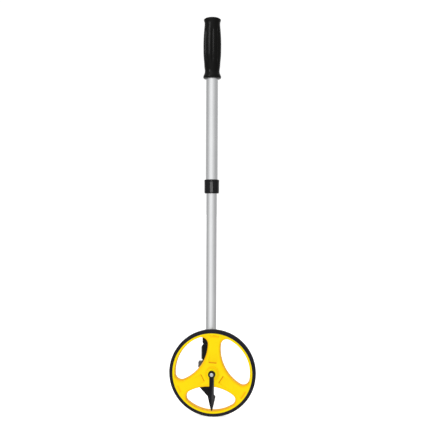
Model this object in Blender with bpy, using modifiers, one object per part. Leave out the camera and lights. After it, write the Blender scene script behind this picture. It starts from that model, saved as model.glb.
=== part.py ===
"""A hand-held measuring wheel: a three-spoke wheel with a rubber tyre, a plumb pointer on its
axle, a gear-driven drum counter in a two-part housing behind it, and a telescopic tube with a
twist-lock collar and a rubber grip.

Metres, +Z up. The viewer stands at -Y and sees the wheel's front face; the counter faces -X.
The origin is on the ground under the axle, halfway through the whole depth.
"""

import math

import bmesh
import bpy
from mathutils import Matrix, Vector

# Clearances
FIT = 0.0003
OVERRUN = 0.002

# Tyre and wheel
CIRCUMFERENCE = 0.500
TYRE_THICKNESS = 0.0064
TYRE_WIDTH = 0.0125
TYRE_SHOULDER = 0.0030
TYRE_RIB_WIDTH = 0.0050
TYRE_RIB_HEIGHT = 0.0012
RIM_WIDTH = 0.0127
LIP_WIDTH = 0.0034
LIP_HEIGHT = 0.0006
WHEEL_TURN = math.radians(3.5)
SPOKES = 3
WINDOW_EDGE = 0.0006
WINDOW_NEAR_RADIUS = 0.0240
WINDOW_INNER_ARC_RADIUS = 0.0750
WINDOW_CORNER_RADIUS = 0.0120
POCKET_WIDTH = 0.0155
POCKET_START_RADIUS = 0.0185
POCKET_LENGTH = 0.0240
POCKET_DEPTH = 0.0016
HUB_BOSS_RADIUS = 0.0130
HUB_BOSS_HEIGHT = 0.0012
HUB_RING_RADIUS = 0.0100
HUB_RING_HEIGHT = 0.0022
HUB_REAR_HEIGHT = 0.0022

# Axle, bushes and pointer
AXLE_RADIUS = 0.0030
AXLE_SPIGOT_RADIUS = 0.0021
AXLE_COLLAR_RADIUS = 0.0050
AXLE_COLLAR_WIDTH = 0.0015
BUSH_RADIUS = 0.0045
BUSH_LENGTH = 0.0070
BUSH_FLANGE_RADIUS = 0.0055
BUSH_FLANGE_WIDTH = 0.0008
REAR_BUSH_LENGTH = 0.0036
WASHER_RADIUS = 0.0050
WASHER_THICKNESS = 0.0005
POINTER_RING_RADIUS = 0.0067
POINTER_THICKNESS = 0.0044
POINTER_STEM_WIDTH = 0.0085
POINTER_STEM_LENGTH = 0.0360
POINTER_HEAD_WIDTH = 0.0140
POINTER_HEAD_LENGTH = 0.0303
POINTER_SHOULDER = 0.0035
POINTER_BEVEL = 0.0012
POINTER_SCREW_HEAD_RADIUS = 0.0036
POINTER_SCREW_HEAD_HEIGHT = 0.0016
POINTER_SCREW_RADIUS = 0.0011
POINTER_SCREW_LENGTH = 0.0080
NUT_WIDTH = 0.0090
NUT_HEIGHT = 0.0032

# Housing
HOUSING_GAP = 0.0010
HOUSING_DEPTH = 0.0345
HOUSING_WIDTH = 0.0290
HOUSING_RISE = 0.0720
HIP_DROP = 0.0140
WALL = 0.0020
CAVITY_RISE = 0.0440
CAVITY_DROP = 0.0085
NOTCH_RISE = 0.0504
NOTCH_HEIGHT = 0.0048
NOTCH_DEPTH = 0.0028
FIN_THICKNESS = 0.0060
FIN_RISE = 0.0180
FIN_FLARE = 0.0046
FIN_CORNER_DROP = 0.0300
FIN_DROP = 0.0475
FIN_TIP_WIDTH = 0.0030
FIN_SLOPE_SHARE = 0.92
AXLE_BOSS_RADIUS = 0.0068
HOUSING_EDGE = 0.0010

# Housing screws
SCREW_RADIUS = 0.0012
SCREW_HEAD_RADIUS = 0.0025
SCREW_HEAD_HEIGHT = 0.0016
SCREW_SPACING = 0.0210
SCREW_TOP_RISE = 0.0472
SCREW_LOW_DROP = 0.0112
SCREW_LENGTH = 0.0240
TUBE_SCREW_RADIUS = 0.0015
TUBE_SCREW_LENGTH = 0.0290

# Tubes, collar and grip
TUBE_OFFSET = 0.00525
TUBE_FOOT_RISE = 0.0505
LOWER_TUBE_RADIUS = 0.0099
TUBE_WALL = 0.0009
LOWER_TUBE_LENGTH = 0.3282
TUBE_OVERLAP = 0.0375
UPPER_TUBE_LENGTH = 0.3077
PLUG_LENGTH = 0.0190
PLUG_BORE_RADIUS = 0.0040
GUIDE_HEIGHT = 0.0080
GUIDE_STEM_LENGTH = 0.0100
GUIDE_BORE_RADIUS = 0.0065
COLLAR_RADIUS = 0.01395
COLLAR_LENGTH = 0.0260
COLLAR_TAPER = 0.0007
COLLAR_LIP = 0.0016
COLLAR_EDGE = 0.0016
COLLET_LENGTH = 0.0100
COLLET_RADIUS = 0.0122
GRIP_LENGTH = 0.1130
GRIP_RADIUS = 0.01765
GRIP_CAP = 0.0070
GRIP_SHAPE_SHARES = (
    (0.000, 0.00), (0.005, 0.45), (0.012, 0.75), (0.025, 0.92), (0.040, 0.940), (0.060, 0.900),
    (0.085, 0.860), (0.176, 0.905), (0.290, 0.966), (0.440, 1.000), (0.628, 0.983), (0.725, 0.921),
    (0.822, 0.860), (0.871, 0.815), (0.919, 0.860), (0.950, 0.950), (0.968, 0.995), (0.990, 0.985),
    (1.000, 0.950),
)
GRIP_FLUTES = 8
GRIP_FLUTE_RADIUS = 0.0040
GRIP_FLUTE_DEPTH = 0.0010
GRIP_FLUTE_LENGTH = 0.0700

# Gear train and counter
GEAR_MODULE = 0.0006
HUB_GEAR_TEETH = 14
IDLER_TEETH = 33
COUNTER_GEAR_TEETH = 28
GEAR_WIDTH = 0.0035
GEAR_GAP = 0.0013
HUB_SLEEVE_RADIUS = 0.0065
HUB_SLEEVE_SEAT = 0.0040
DRUM_OFFSET = 0.0086
COUNTER_SLEEVE_RADIUS = 0.0030
PLATE_GAP = 0.0009
PLATE_THICKNESS = 0.0012
DRUMS = 5
DRUM_RADIUS = 0.0090
DRUM_WIDTH = 0.0027
DRUM_RING_WIDTH = 0.0012
DRUM_GAP = 0.0003
RING_MODULE = 0.00075
RING_TEETH = 20
PINION_TEETH = 8
PINION_MARGIN = 0.0003
SHAFT_RADIUS = 0.0015
PINION_SHAFT_RADIUS = 0.0008
PIN_RADIUS = 0.0015
PIN_HEAD_RADIUS = 0.0026
PIN_HEAD_HEIGHT = 0.0006
POCKET_HOLE = 0.0013
BRIDGE_THICKNESS = 0.0020
PLATE_REAR_DROP = 0.0110
TOOTH_HEIGHT_SHARE = 0.80
TOOTH_DEPTH_SHARE = 1.15
TOOTH_TIP_SHARE = 0.11
TOOTH_ROOT_SHARE = 0.27

# Display
DISPLAY_DROP = 0.0090
DISPLAY_LIFT = 0.0145
BEZEL_THICKNESS = 0.0010
BEZEL_MARGIN = 0.0005
SIGHT_HALF_HEIGHT = 0.0070
LENS_THICKNESS = 0.0015
LENS_BORDER = 0.0018

# Reset lever
LEVER_PIVOT_X = -0.0135
LEVER_PIVOT_Z = 0.0096
LEVER_WIDTH = 0.0120
LEVER_HUB_RADIUS = 0.0030
LEVER_ARM_HEIGHT = 0.0040
LEVER_REACH = 0.0147
LEVER_PAD_THICKNESS = 0.0062
LEVER_PAD_HEIGHT = 0.0112
LEVER_FINGER_WIDTH = 0.0022
LEVER_FINGER_LENGTH = 0.0103
LEVER_START = 0.0030
LEVER_SLOT_RISE = 0.0026
LEVER_SLOT_DROP = 0.0046
SPRING_WIRE_RADIUS = 0.0003
SPRING_RADIUS = 0.0024
SPRING_TURNS = 3
SPRING_PITCH = 0.0009
SPRING_LEG = 0.0050
SPRING_POINTS = 8

# Facet counts
FINE_STEPS = 48
ROUND_STEPS = 24
SMALL_STEPS = 14
TINY_STEPS = 10
ARC_STEPS = 5

# Derived places, measured from the axle with the wheel's middle at depth zero
TYRE_RADIUS = CIRCUMFERENCE / (2 * math.pi)
RIM_RADIUS = TYRE_RADIUS - TYRE_THICKNESS
RIM_FACE = RIM_WIDTH / 2
WEB_FACE = RIM_FACE - LIP_HEIGHT
WINDOW_OUTER_RADIUS = RIM_RADIUS - LIP_WIDTH - WINDOW_EDGE
HUB_FRONT = WEB_FACE + HUB_BOSS_HEIGHT + HUB_RING_HEIGHT
HUB_REAR = WEB_FACE + HUB_REAR_HEIGHT
BUSH_FRONT = HUB_FRONT + FIT + BUSH_FLANGE_WIDTH
AXLE_STEP = BUSH_FRONT + FIT
WASHER_FRONT = AXLE_STEP + FIT + WASHER_THICKNESS
POINTER_BACK = WASHER_FRONT + FIT
POINTER_FRONT = POINTER_BACK + POINTER_THICKNESS
SCREW_SEAT = POINTER_FRONT + FIT
FRONT = SCREW_SEAT + POINTER_SCREW_HEAD_HEIGHT
HOUSING_FRONT = HUB_REAR + HOUSING_GAP
HOUSING_BACK = HOUSING_FRONT + HOUSING_DEPTH
SPLIT = HOUSING_FRONT + HOUSING_DEPTH / 2
CAVITY_FRONT = HOUSING_FRONT + WALL
CAVITY_BACK = HOUSING_BACK - WALL
HOUSING_LEFT = -TUBE_OFFSET - HOUSING_WIDTH / 2
HOUSING_RIGHT = -TUBE_OFFSET + HOUSING_WIDTH / 2
BACK = max(HOUSING_BACK, SPLIT + GRIP_RADIUS)
MIDDLE = (BACK - FRONT) / 2
GEAR_FRONT = CAVITY_FRONT + GEAR_GAP
GEAR_BACK = GEAR_FRONT + GEAR_WIDTH
PLATE_FRONT = GEAR_BACK + PLATE_GAP
PLATE_BACK = PLATE_FRONT + PLATE_THICKNESS
DRUM_START = PLATE_BACK + 2 * FIT
DRUM_PITCH = DRUM_RING_WIDTH + DRUM_WIDTH + DRUM_GAP
DRUM_END = DRUM_START + DRUMS * DRUM_PITCH
REAR_PLATE_FRONT = DRUM_END
REAR_PLATE_BACK = REAR_PLATE_FRONT + PLATE_THICKNESS
GEAR_REACH = GEAR_MODULE * (HUB_GEAR_TEETH + 2 * IDLER_TEETH + COUNTER_GEAR_TEETH) / 2
DRUM_X = -DRUM_OFFSET
DRUM_Z = math.sqrt(GEAR_REACH**2 - DRUM_OFFSET**2)
IDLER_REACH = GEAR_MODULE * (HUB_GEAR_TEETH + IDLER_TEETH) / 2
IDLER_X = DRUM_X * IDLER_REACH / GEAR_REACH
IDLER_Z = DRUM_Z * IDLER_REACH / GEAR_REACH
PINION_REACH = RING_MODULE * (RING_TEETH + PINION_TEETH) / 2
PINION_X = DRUM_X + PINION_REACH
LOWER_TUBE_TOP = TUBE_FOOT_RISE + LOWER_TUBE_LENGTH
UPPER_TUBE_RADIUS = LOWER_TUBE_RADIUS + FIT + TUBE_WALL
UPPER_TUBE_FOOT = LOWER_TUBE_TOP - TUBE_OVERLAP
UPPER_TUBE_TOP = UPPER_TUBE_FOOT + UPPER_TUBE_LENGTH
COLLET_FOOT = UPPER_TUBE_FOOT - FIT - COLLET_LENGTH
COLLAR_FOOT = COLLET_FOOT - FIT - COLLAR_LIP
COLLAR_BORE_RADIUS = UPPER_TUBE_RADIUS + FIT
GRIP_TOP = UPPER_TUBE_TOP + FIT + GRIP_CAP
TUBE_SCREW_RISE = TUBE_FOOT_RISE + PLUG_LENGTH / 2
LEVER_BACK = PLATE_BACK + LEVER_START + LEVER_WIDTH
BEZEL_FOOT = DRUM_Z - DISPLAY_DROP
BEZEL_TOP = DRUM_Z + DISPLAY_LIFT


def clear_scene():
    for obj in list(bpy.data.objects):
        bpy.data.objects.remove(obj, do_unlink=True)


def new_collection(name):
    collection = bpy.data.collections.new(name)
    bpy.context.scene.collection.children.link(collection)
    return collection


clear_scene()
PARTS = new_collection("measuring_wheel")
CUTTERS = new_collection("cutters")
AXLE_FRAME = bpy.data.objects.new("axle_centre", None)
AXLE_FRAME.location = (0, -MIDDLE, TYRE_RADIUS)
PARTS.objects.link(AXLE_FRAME)


def material(name, colour, roughness, metallic=0.0, alpha=1.0):
    made = bpy.data.materials.new(name)
    made.use_nodes = True
    shader = made.node_tree.nodes["Principled BSDF"]
    shader.inputs["Base Color"].default_value = (*colour, 1.0)
    shader.inputs["Roughness"].default_value = roughness
    shader.inputs["Metallic"].default_value = metallic
    shader.inputs["Alpha"].default_value = alpha
    return made


YELLOW = material("yellow_abs", (1.0, 0.74, 0.01), 0.35)
TYRE_RUBBER = material("tyre_rubber", (0.02, 0.02, 0.025), 0.65)
GRIP_RUBBER = material("grip_rubber", (0.012, 0.012, 0.012), 0.35)
BLACK_PLASTIC = material("black_abs", (0.012, 0.012, 0.014), 0.4)
GREY_PLASTIC = material("grey_abs", (0.10, 0.11, 0.12), 0.45)
CLEAR_PLASTIC = material("clear_pc", (0.75, 0.78, 0.8), 0.08, alpha=0.3)
WHITE_PLASTIC = material("white_pom", (0.8, 0.8, 0.78), 0.45)
ALUMINIUM = material("satin_aluminium", (0.62, 0.62, 0.63), 0.35, 1.0)
STEEL = material("zinc_steel", (0.55, 0.56, 0.57), 0.3, 1.0)
SPRING_STEEL = material("spring_steel", (0.4, 0.4, 0.42), 0.3, 1.0)


def place(name, mesh, finish, location, rotation=(0, 0, 0)):
    """A named object on the axle's frame, with its origin at the given place."""
    obj = bpy.data.objects.new(name, mesh)
    if finish:
        mesh.materials.append(finish)
    PARTS.objects.link(obj)
    obj.parent = AXLE_FRAME
    obj.location = location
    obj.rotation_euler = rotation
    return obj


def turned(name, profile, finish, location, rotation, steps):
    """A profile of (radius, height) spun about its axis; it runs down the outer side."""
    mesh = bpy.data.meshes.new(name)
    points = [(radius, 0, height) for radius, height in profile]
    edges = [(i, i + 1) for i in range(len(points) - 1)]
    if profile[0][0] > 0:
        edges.append((len(points) - 1, 0))
    mesh.from_pydata(points, edges, [])
    obj = place(name, mesh, finish, location, rotation)
    spin = obj.modifiers.new("spin", "SCREW")
    spin.axis = "Z"
    spin.steps = steps
    spin.render_steps = steps
    spin.use_merge_vertices = True
    spin.merge_threshold = 0.00001
    spin.use_smooth_shade = True
    return obj


def turned_up(name, profile, finish, location, steps=ROUND_STEPS):
    """A turned piece whose heights run along +Z."""
    return turned(name, profile, finish, location, (0, 0, 0), steps)


def turned_back(name, profile, finish, location, steps=ROUND_STEPS):
    """A turned piece whose heights run along +Y, away from the viewer."""
    return turned(name, profile, finish, location, (-math.pi / 2, 0, 0), steps)


def ring(outer, inner, low, high):
    """A ring's profile, down the outer side and up the bore."""
    return [(outer, high), (outer, low), (inner, low), (inner, high)]


def rod(radius, low, high):
    """A solid rod's profile."""
    return [(0, high), (radius, high), (radius, low), (0, low)]


def plate(name, outlines, finish, front, back, location=(0, 0)):
    """Closed outlines in X and Z, filled where they don't overlap, from one depth to another."""
    curve = bpy.data.curves.new(name + "_outline", "CURVE")
    curve.dimensions = "2D"
    curve.fill_mode = "BOTH"
    curve.extrude = (back - front) / 2
    for outline in outlines:
        spline = curve.splines.new("POLY")
        spline.points.add(len(outline) - 1)
        for point, (across, up) in zip(spline.points, outline):
            point.co = (across, up, 0, 1)
        spline.use_cyclic_u = True
    guide = bpy.data.objects.new(name + "_guide", curve)
    PARTS.objects.link(guide)
    graph = bpy.context.evaluated_depsgraph_get()
    mesh = bpy.data.meshes.new_from_object(guide.evaluated_get(graph))
    mesh.name = name
    bpy.data.objects.remove(guide, do_unlink=True)
    work = bmesh.new()
    work.from_mesh(mesh)
    bmesh.ops.remove_doubles(work, verts=work.verts, dist=0.000001)
    work.to_mesh(mesh)
    work.free()
    spot = (location[0], (front + back) / 2, location[1])
    return place(name, mesh, finish, spot, (math.pi / 2, 0, 0))


def box(name, finish, low, high):
    """A box between two corners."""
    mesh = bpy.data.meshes.new(name)
    work = bmesh.new()
    size = Vector(high) - Vector(low)
    bmesh.ops.create_cube(work, size=1, matrix=Matrix.Diagonal((*size, 1)))
    work.to_mesh(mesh)
    work.free()
    return place(name, mesh, finish, (Vector(low) + Vector(high)) / 2)


def circle(radius, steps, centre=(0, 0)):
    turn = 2 * math.pi / steps
    return [
        (centre[0] + radius * math.cos(turn * i), centre[1] + radius * math.sin(turn * i))
        for i in range(steps)
    ]


def arc(centre, radius, start, end, steps):
    """Points along an arc, both ends included."""
    return [
        (
            centre[0] + radius * math.cos(start + (end - start) * i / steps),
            centre[1] + radius * math.sin(start + (end - start) * i / steps),
        )
        for i in range(steps + 1)
    ]


def round_edges(obj, width):
    edge = obj.modifiers.new("edge", "BEVEL")
    edge.width = width
    edge.segments = 1
    edge.limit_method = "ANGLE"
    edge.angle_limit = math.radians(40)


def combine(target, piece, operation):
    piece.users_collection[0].objects.unlink(piece)
    CUTTERS.objects.link(piece)
    piece.hide_render = True
    piece.display_type = "WIRE"
    step = target.modifiers.new(piece.name, "BOOLEAN")
    step.operation = operation
    step.object = piece
    step.solver = "EXACT"


def cut(target, *pieces):
    for piece in pieces:
        combine(target, piece, "DIFFERENCE")


def add(target, *pieces):
    for piece in pieces:
        combine(target, piece, "UNION")


def hole(name, radius, front, back, across=0, up=0, steps=SMALL_STEPS):
    """A round cutter along Y."""
    return turned_back(name, rod(radius, front, back), None, (across, 0, up), steps)


def gear_outline(teeth, module, turn=0):
    """Straight-sided teeth round a pitch circle; turn zero puts a tooth at +X."""
    pitch_radius = module * teeth / 2
    tip_radius = pitch_radius + TOOTH_HEIGHT_SHARE * module
    root_radius = pitch_radius - TOOTH_DEPTH_SHARE * module
    pitch = 2 * math.pi / teeth
    corners = (
        (root_radius, -TOOTH_ROOT_SHARE),
        (tip_radius, -TOOTH_TIP_SHARE),
        (tip_radius, TOOTH_TIP_SHARE),
        (root_radius, TOOTH_ROOT_SHARE),
    )
    points = []
    for tooth in range(teeth):
        for radius, share in corners:
            angle = turn + (tooth + share) * pitch
            points.append((radius * math.cos(angle), radius * math.sin(angle)))
    return points


def window_outline(turn):
    """The opening between two spokes: two large arcs joined by two corner arcs."""
    arc_centre = WINDOW_NEAR_RADIUS + WINDOW_INNER_ARC_RADIUS
    outer = WINDOW_OUTER_RADIUS - WINDOW_CORNER_RADIUS
    inner = WINDOW_INNER_ARC_RADIUS - WINDOW_CORNER_RADIUS
    corner_v = (arc_centre**2 + outer**2 - inner**2) / (2 * arc_centre)
    corner_u = math.sqrt(outer**2 - corner_v**2)
    outer_angle = math.atan2(corner_v, corner_u)
    inner_angle = math.atan2(corner_v - arc_centre, corner_u)
    right = arc((corner_u, corner_v), WINDOW_CORNER_RADIUS, inner_angle, outer_angle, ARC_STEPS)
    rim = arc((0, 0), WINDOW_OUTER_RADIUS, outer_angle, math.pi - outer_angle, 2 * ARC_STEPS)
    left = arc(
        (-corner_u, corner_v), WINDOW_CORNER_RADIUS, math.pi - outer_angle, math.pi - inner_angle,
        ARC_STEPS,
    )
    near = arc(
        (0, arc_centre), WINDOW_INNER_ARC_RADIUS, math.pi - inner_angle, 2 * math.pi + inner_angle,
        2 * ARC_STEPS,
    )
    points = right + rim[1:] + left[1:] + near[1:-1]
    return [
        (v * math.sin(turn) + u * math.cos(turn), v * math.cos(turn) - u * math.sin(turn))
        for u, v in points
    ]


def make_road_wheel():
    groove = RIM_RADIUS - TYRE_RIB_HEIGHT
    half_rib = TYRE_RIB_WIDTH / 2 + FIT
    lip_inner = RIM_RADIUS - LIP_WIDTH
    bore = BUSH_RADIUS + FIT
    seat = HUB_SLEEVE_RADIUS + FIT
    profile = [
        (bore, HUB_REAR - HUB_SLEEVE_SEAT),
        (seat, HUB_REAR - HUB_SLEEVE_SEAT),
        (seat, HUB_REAR),
        (HUB_RING_RADIUS, HUB_REAR),
        (HUB_RING_RADIUS, WEB_FACE),
        (lip_inner, WEB_FACE),
        (lip_inner, RIM_FACE),
        (RIM_RADIUS, RIM_FACE),
        (RIM_RADIUS, half_rib),
        (groove, half_rib),
        (groove, -half_rib),
        (RIM_RADIUS, -half_rib),
        (RIM_RADIUS, -RIM_FACE),
        (lip_inner, -RIM_FACE),
        (lip_inner, -WEB_FACE),
        (HUB_BOSS_RADIUS, -WEB_FACE),
        (HUB_BOSS_RADIUS, -WEB_FACE - HUB_BOSS_HEIGHT),
        (HUB_RING_RADIUS, -WEB_FACE - HUB_BOSS_HEIGHT),
        (HUB_RING_RADIUS, -HUB_FRONT),
        (bore, -HUB_FRONT),
    ]
    wheel = turned_back("road_wheel", profile, YELLOW, (0, 0, 0), FINE_STEPS)
    reach = RIM_FACE + OVERRUN
    for spoke in range(SPOKES):
        turn = WHEEL_TURN + 2 * math.pi * spoke / SPOKES
        window = window_outline(turn + math.pi / SPOKES)
        cut(wheel, plate(f"window_cut_{spoke + 1}", [window], None, -reach, reach))
        cut(wheel, pocket_cutter(f"pocket_cut_{spoke + 1}", turn))


def pocket_cutter(name, turn):
    """A wedge of air over a spoke: deepest at the hub end, running out toward the rim."""
    slope = math.atan2(POCKET_DEPTH, POCKET_LENGTH)
    length = math.hypot(POCKET_DEPTH, POCKET_LENGTH)
    thickness = POCKET_DEPTH + OVERRUN
    lift = Matrix.Translation((0, -WEB_FACE + POCKET_DEPTH, POCKET_START_RADIUS))
    shift = Matrix.Translation((0, -thickness / 2, length / 2))
    size = Matrix.Diagonal((POCKET_WIDTH, thickness, length, 1))
    matrix = Matrix.Rotation(turn, 4, "Y") @ lift @ Matrix.Rotation(slope, 4, "X") @ shift @ size
    mesh = bpy.data.meshes.new(name)
    work = bmesh.new()
    bmesh.ops.create_cube(work, size=1, matrix=matrix)
    work.to_mesh(mesh)
    work.free()
    return place(name, mesh, None, (0, 0, 0))


def make_tyre():
    half = TYRE_WIDTH / 2
    flat = half - TYRE_SHOULDER
    crown = TYRE_RADIUS - TYRE_SHOULDER
    shoulder = arc((crown, flat), TYRE_SHOULDER, math.pi / 2, 0, 2)
    lower = arc((crown, -flat), TYRE_SHOULDER, 0, -math.pi / 2, 2)
    seat = RIM_RADIUS + FIT
    rib = RIM_RADIUS - TYRE_RIB_HEIGHT + FIT
    half_rib = TYRE_RIB_WIDTH / 2
    bore = [(seat, -half), (seat, -half_rib), (rib, -half_rib), (rib, half_rib), (seat, half_rib)]
    profile = shoulder + lower + bore + [(seat, half)]
    turned_back("tyre", profile, TYRE_RUBBER, (0, 0, 0), FINE_STEPS)


def make_bushes():
    bore = AXLE_RADIUS + FIT
    front = [
        (BUSH_RADIUS, -HUB_FRONT + BUSH_LENGTH),
        (BUSH_RADIUS, -HUB_FRONT - FIT),
        (BUSH_FLANGE_RADIUS, -HUB_FRONT - FIT),
        (BUSH_FLANGE_RADIUS, -BUSH_FRONT),
        (bore, -BUSH_FRONT),
        (bore, -HUB_FRONT + BUSH_LENGTH),
    ]
    turned_back("front_bush", front, WHITE_PLASTIC, (0, 0, 0), SMALL_STEPS)
    end = HUB_REAR - HUB_SLEEVE_SEAT
    rear = ring(BUSH_RADIUS, bore, end - REAR_BUSH_LENGTH, end)
    turned_back("rear_bush", rear, WHITE_PLASTIC, (0, 0, 0), SMALL_STEPS)


def make_hub_gear():
    bore = AXLE_RADIUS + FIT
    start = HUB_REAR - HUB_SLEEVE_SEAT + FIT
    sleeve = ring(HUB_SLEEVE_RADIUS, bore, start, GEAR_FRONT)
    gear = turned_back("hub_gear", sleeve, WHITE_PLASTIC, (0, 0, 0), SMALL_STEPS)
    outlines = [gear_outline(HUB_GEAR_TEETH, GEAR_MODULE, tooth_turn()), circle(bore, SMALL_STEPS)]
    add(gear, plate("hub_gear_teeth", outlines, None, GEAR_FRONT - FIT, GEAR_BACK))


def make_axle():
    collar_front = PLATE_BACK + FIT
    collar_back = collar_front + AXLE_COLLAR_WIDTH
    end = CAVITY_BACK + WALL - FIT
    drill = -POINTER_FRONT + POINTER_SCREW_LENGTH + FIT
    tap = POINTER_SCREW_RADIUS + FIT
    profile = [
        (0, end),
        (AXLE_RADIUS, end),
        (AXLE_RADIUS, collar_back),
        (AXLE_COLLAR_RADIUS, collar_back),
        (AXLE_COLLAR_RADIUS, collar_front),
        (AXLE_RADIUS, collar_front),
        (AXLE_RADIUS, -AXLE_STEP),
        (AXLE_SPIGOT_RADIUS, -AXLE_STEP),
        (AXLE_SPIGOT_RADIUS, -POINTER_FRONT),
        (tap, -POINTER_FRONT),
        (tap, drill),
        (0, drill),
    ]
    turned_back("axle", profile, STEEL, (0, 0, 0), SMALL_STEPS)


def make_axle_nut():
    back = HOUSING_BACK - FIT
    outlines = [
        circle(NUT_WIDTH / math.sqrt(3), 6),
        circle(AXLE_RADIUS + FIT, SMALL_STEPS),
    ]
    plate("axle_nut", outlines, STEEL, back - NUT_HEIGHT, back)


def make_pointer():
    ring_bore = AXLE_SPIGOT_RADIUS + FIT
    half_stem = POINTER_STEM_WIDTH / 2
    half_head = POINTER_HEAD_WIDTH / 2
    tip = -POINTER_STEM_LENGTH - POINTER_HEAD_LENGTH
    shoulder = tip + POINTER_HEAD_LENGTH - POINTER_SHOULDER
    neck = shoulder + POINTER_SHOULDER
    start = math.asin(half_stem / POINTER_RING_RADIUS)
    top = arc((0, 0), POINTER_RING_RADIUS, start - math.pi / 2, 3 * math.pi / 2 - start, 14)
    outline = top + [
        (-half_stem, neck), (-half_head, shoulder), (0, tip), (half_head, shoulder),
        (half_stem, neck),
    ]
    outlines = [outline, circle(ring_bore, SMALL_STEPS)]
    pointer = plate("pointer", outlines, BLACK_PLASTIC, -POINTER_FRONT, -POINTER_BACK)
    edge = pointer.modifiers.new("edge", "BEVEL")
    edge.width = POINTER_BEVEL
    edge.segments = 1
    edge.limit_method = "WEIGHT"
    bevel_front_edges(pointer.data, half_stem)


def bevel_front_edges(mesh, reach):
    """Marks the outer edges of the pointer's front face, whose local height is the largest."""
    top = max(vertex.co.z for vertex in mesh.vertices)
    weights = mesh.attributes.new("bevel_weight_edge", "FLOAT", "EDGE")
    work = bmesh.new()
    work.from_mesh(mesh)
    for edge in work.edges:
        on_top = all(abs(vertex.co.z - top) < FIT for vertex in edge.verts)
        outside = all(vertex.co.xy.length > reach for vertex in edge.verts)
        flat = any(abs(face.normal.z) < 0.5 for face in edge.link_faces)
        weights.data[edge.index].value = float(on_top and outside and flat)
    work.free()


def make_pointer_fixings():
    washer = ring(WASHER_RADIUS, AXLE_SPIGOT_RADIUS + FIT, -WASHER_FRONT, -AXLE_STEP - FIT)
    turned_back("pointer_washer", washer, STEEL, (0, 0, 0), SMALL_STEPS)
    dome = arc(
        (0, -SCREW_SEAT), POINTER_SCREW_HEAD_RADIUS, 0, -math.pi / 2, 4
    )
    flatness = POINTER_SCREW_HEAD_HEIGHT / POINTER_SCREW_HEAD_RADIUS
    head = [(radius, -SCREW_SEAT + (depth + SCREW_SEAT) * flatness) for radius, depth in dome]
    head[-1] = (0, -FRONT)
    shank_end = -POINTER_FRONT + POINTER_SCREW_LENGTH
    profile = [
        (0, shank_end),
        (POINTER_SCREW_RADIUS, shank_end),
        (POINTER_SCREW_RADIUS, -SCREW_SEAT),
    ] + head
    turned_back("pointer_screw", profile, STEEL, (0, 0, 0), SMALL_STEPS)


def tooth_turn():
    """The direction from the axle to the idler, where the hub gear has a tooth."""
    return math.atan2(IDLER_Z, IDLER_X)


def make_idler():
    line = tooth_turn()
    pitch = 2 * math.pi / IDLER_TEETH
    turn = line + math.pi + pitch / 2
    outlines = [
        gear_outline(IDLER_TEETH, GEAR_MODULE, turn),
        circle(PIN_RADIUS + FIT, SMALL_STEPS),
    ]
    plate("idler_gear", outlines, WHITE_PLASTIC, GEAR_FRONT, GEAR_BACK, (IDLER_X, IDLER_Z))
    head_front = GEAR_FRONT - FIT - PIN_HEAD_HEIGHT
    profile = [
        (0, PLATE_BACK),
        (PIN_RADIUS, PLATE_BACK),
        (PIN_RADIUS, GEAR_FRONT - FIT),
        (PIN_HEAD_RADIUS, GEAR_FRONT - FIT),
        (PIN_HEAD_RADIUS, head_front),
        (0, head_front),
    ]
    turned_back("idler_pin", profile, STEEL, (IDLER_X, 0, IDLER_Z), TINY_STEPS)


def counter_gear_turn():
    """A gap or a tooth of the counter gear, whichever meets the idler along their line."""
    line = tooth_turn()
    pitch = 2 * math.pi / IDLER_TEETH
    idler_turn = line + math.pi + pitch / 2
    share = ((line - idler_turn) / pitch) % 1.0
    own_pitch = 2 * math.pi / COUNTER_GEAR_TEETH
    return line + math.pi + (share + 0.5) * own_pitch


def make_counter_gear():
    bore = SHAFT_RADIUS + FIT
    outlines = [
        gear_outline(COUNTER_GEAR_TEETH, GEAR_MODULE, counter_gear_turn()),
        circle(bore, SMALL_STEPS),
    ]
    spot = (DRUM_X, DRUM_Z)
    gear = plate("counter_gear", outlines, WHITE_PLASTIC, GEAR_FRONT, GEAR_BACK, spot)
    sleeve = ring(COUNTER_SLEEVE_RADIUS, bore, GEAR_BACK - FIT, DRUM_START - FIT)
    add(gear, turned_back("counter_sleeve", sleeve, None, (DRUM_X, 0, DRUM_Z), SMALL_STEPS))


def drum_front(number):
    return DRUM_START + number * DRUM_PITCH


def make_drums():
    bore = SHAFT_RADIUS + FIT
    for number in range(DRUMS):
        front = drum_front(number)
        body = ring(DRUM_RADIUS, bore, front + DRUM_RING_WIDTH, front + DRUM_RING_WIDTH + DRUM_WIDTH)
        name = f"number_drum_{number + 1}"
        drum = turned_back(name, body, WHITE_PLASTIC, (DRUM_X, 0, DRUM_Z), 20)
        outlines = [gear_outline(RING_TEETH, RING_MODULE), circle(bore, SMALL_STEPS)]
        back = front + DRUM_RING_WIDTH + FIT
        spot = (DRUM_X, DRUM_Z)
        add(drum, plate(f"drum_ring_{number + 1}", outlines, None, front, back, spot))


def make_carry_pinions():
    for number in range(1, DRUMS):
        front = drum_front(number) - DRUM_GAP + PINION_MARGIN
        back = drum_front(number) + DRUM_RING_WIDTH - PINION_MARGIN
        turn = math.pi + math.pi / PINION_TEETH
        outlines = [
            gear_outline(PINION_TEETH, RING_MODULE, turn),
            circle(PINION_SHAFT_RADIUS + FIT, TINY_STEPS),
        ]
        spot = (PINION_X, DRUM_Z)
        plate(f"carry_pinion_{number}", outlines, STEEL, front, back, spot)


def make_counter_shafts():
    front = CAVITY_FRONT - POCKET_HOLE + FIT
    shaft = rod(SHAFT_RADIUS, front, REAR_PLATE_BACK)
    turned_back("drum_shaft", shaft, STEEL, (DRUM_X, 0, DRUM_Z), TINY_STEPS)
    shaft = rod(PINION_SHAFT_RADIUS, PLATE_FRONT, REAR_PLATE_BACK)
    turned_back("pinion_shaft", shaft, STEEL, (PINION_X, 0, DRUM_Z), TINY_STEPS)


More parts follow.
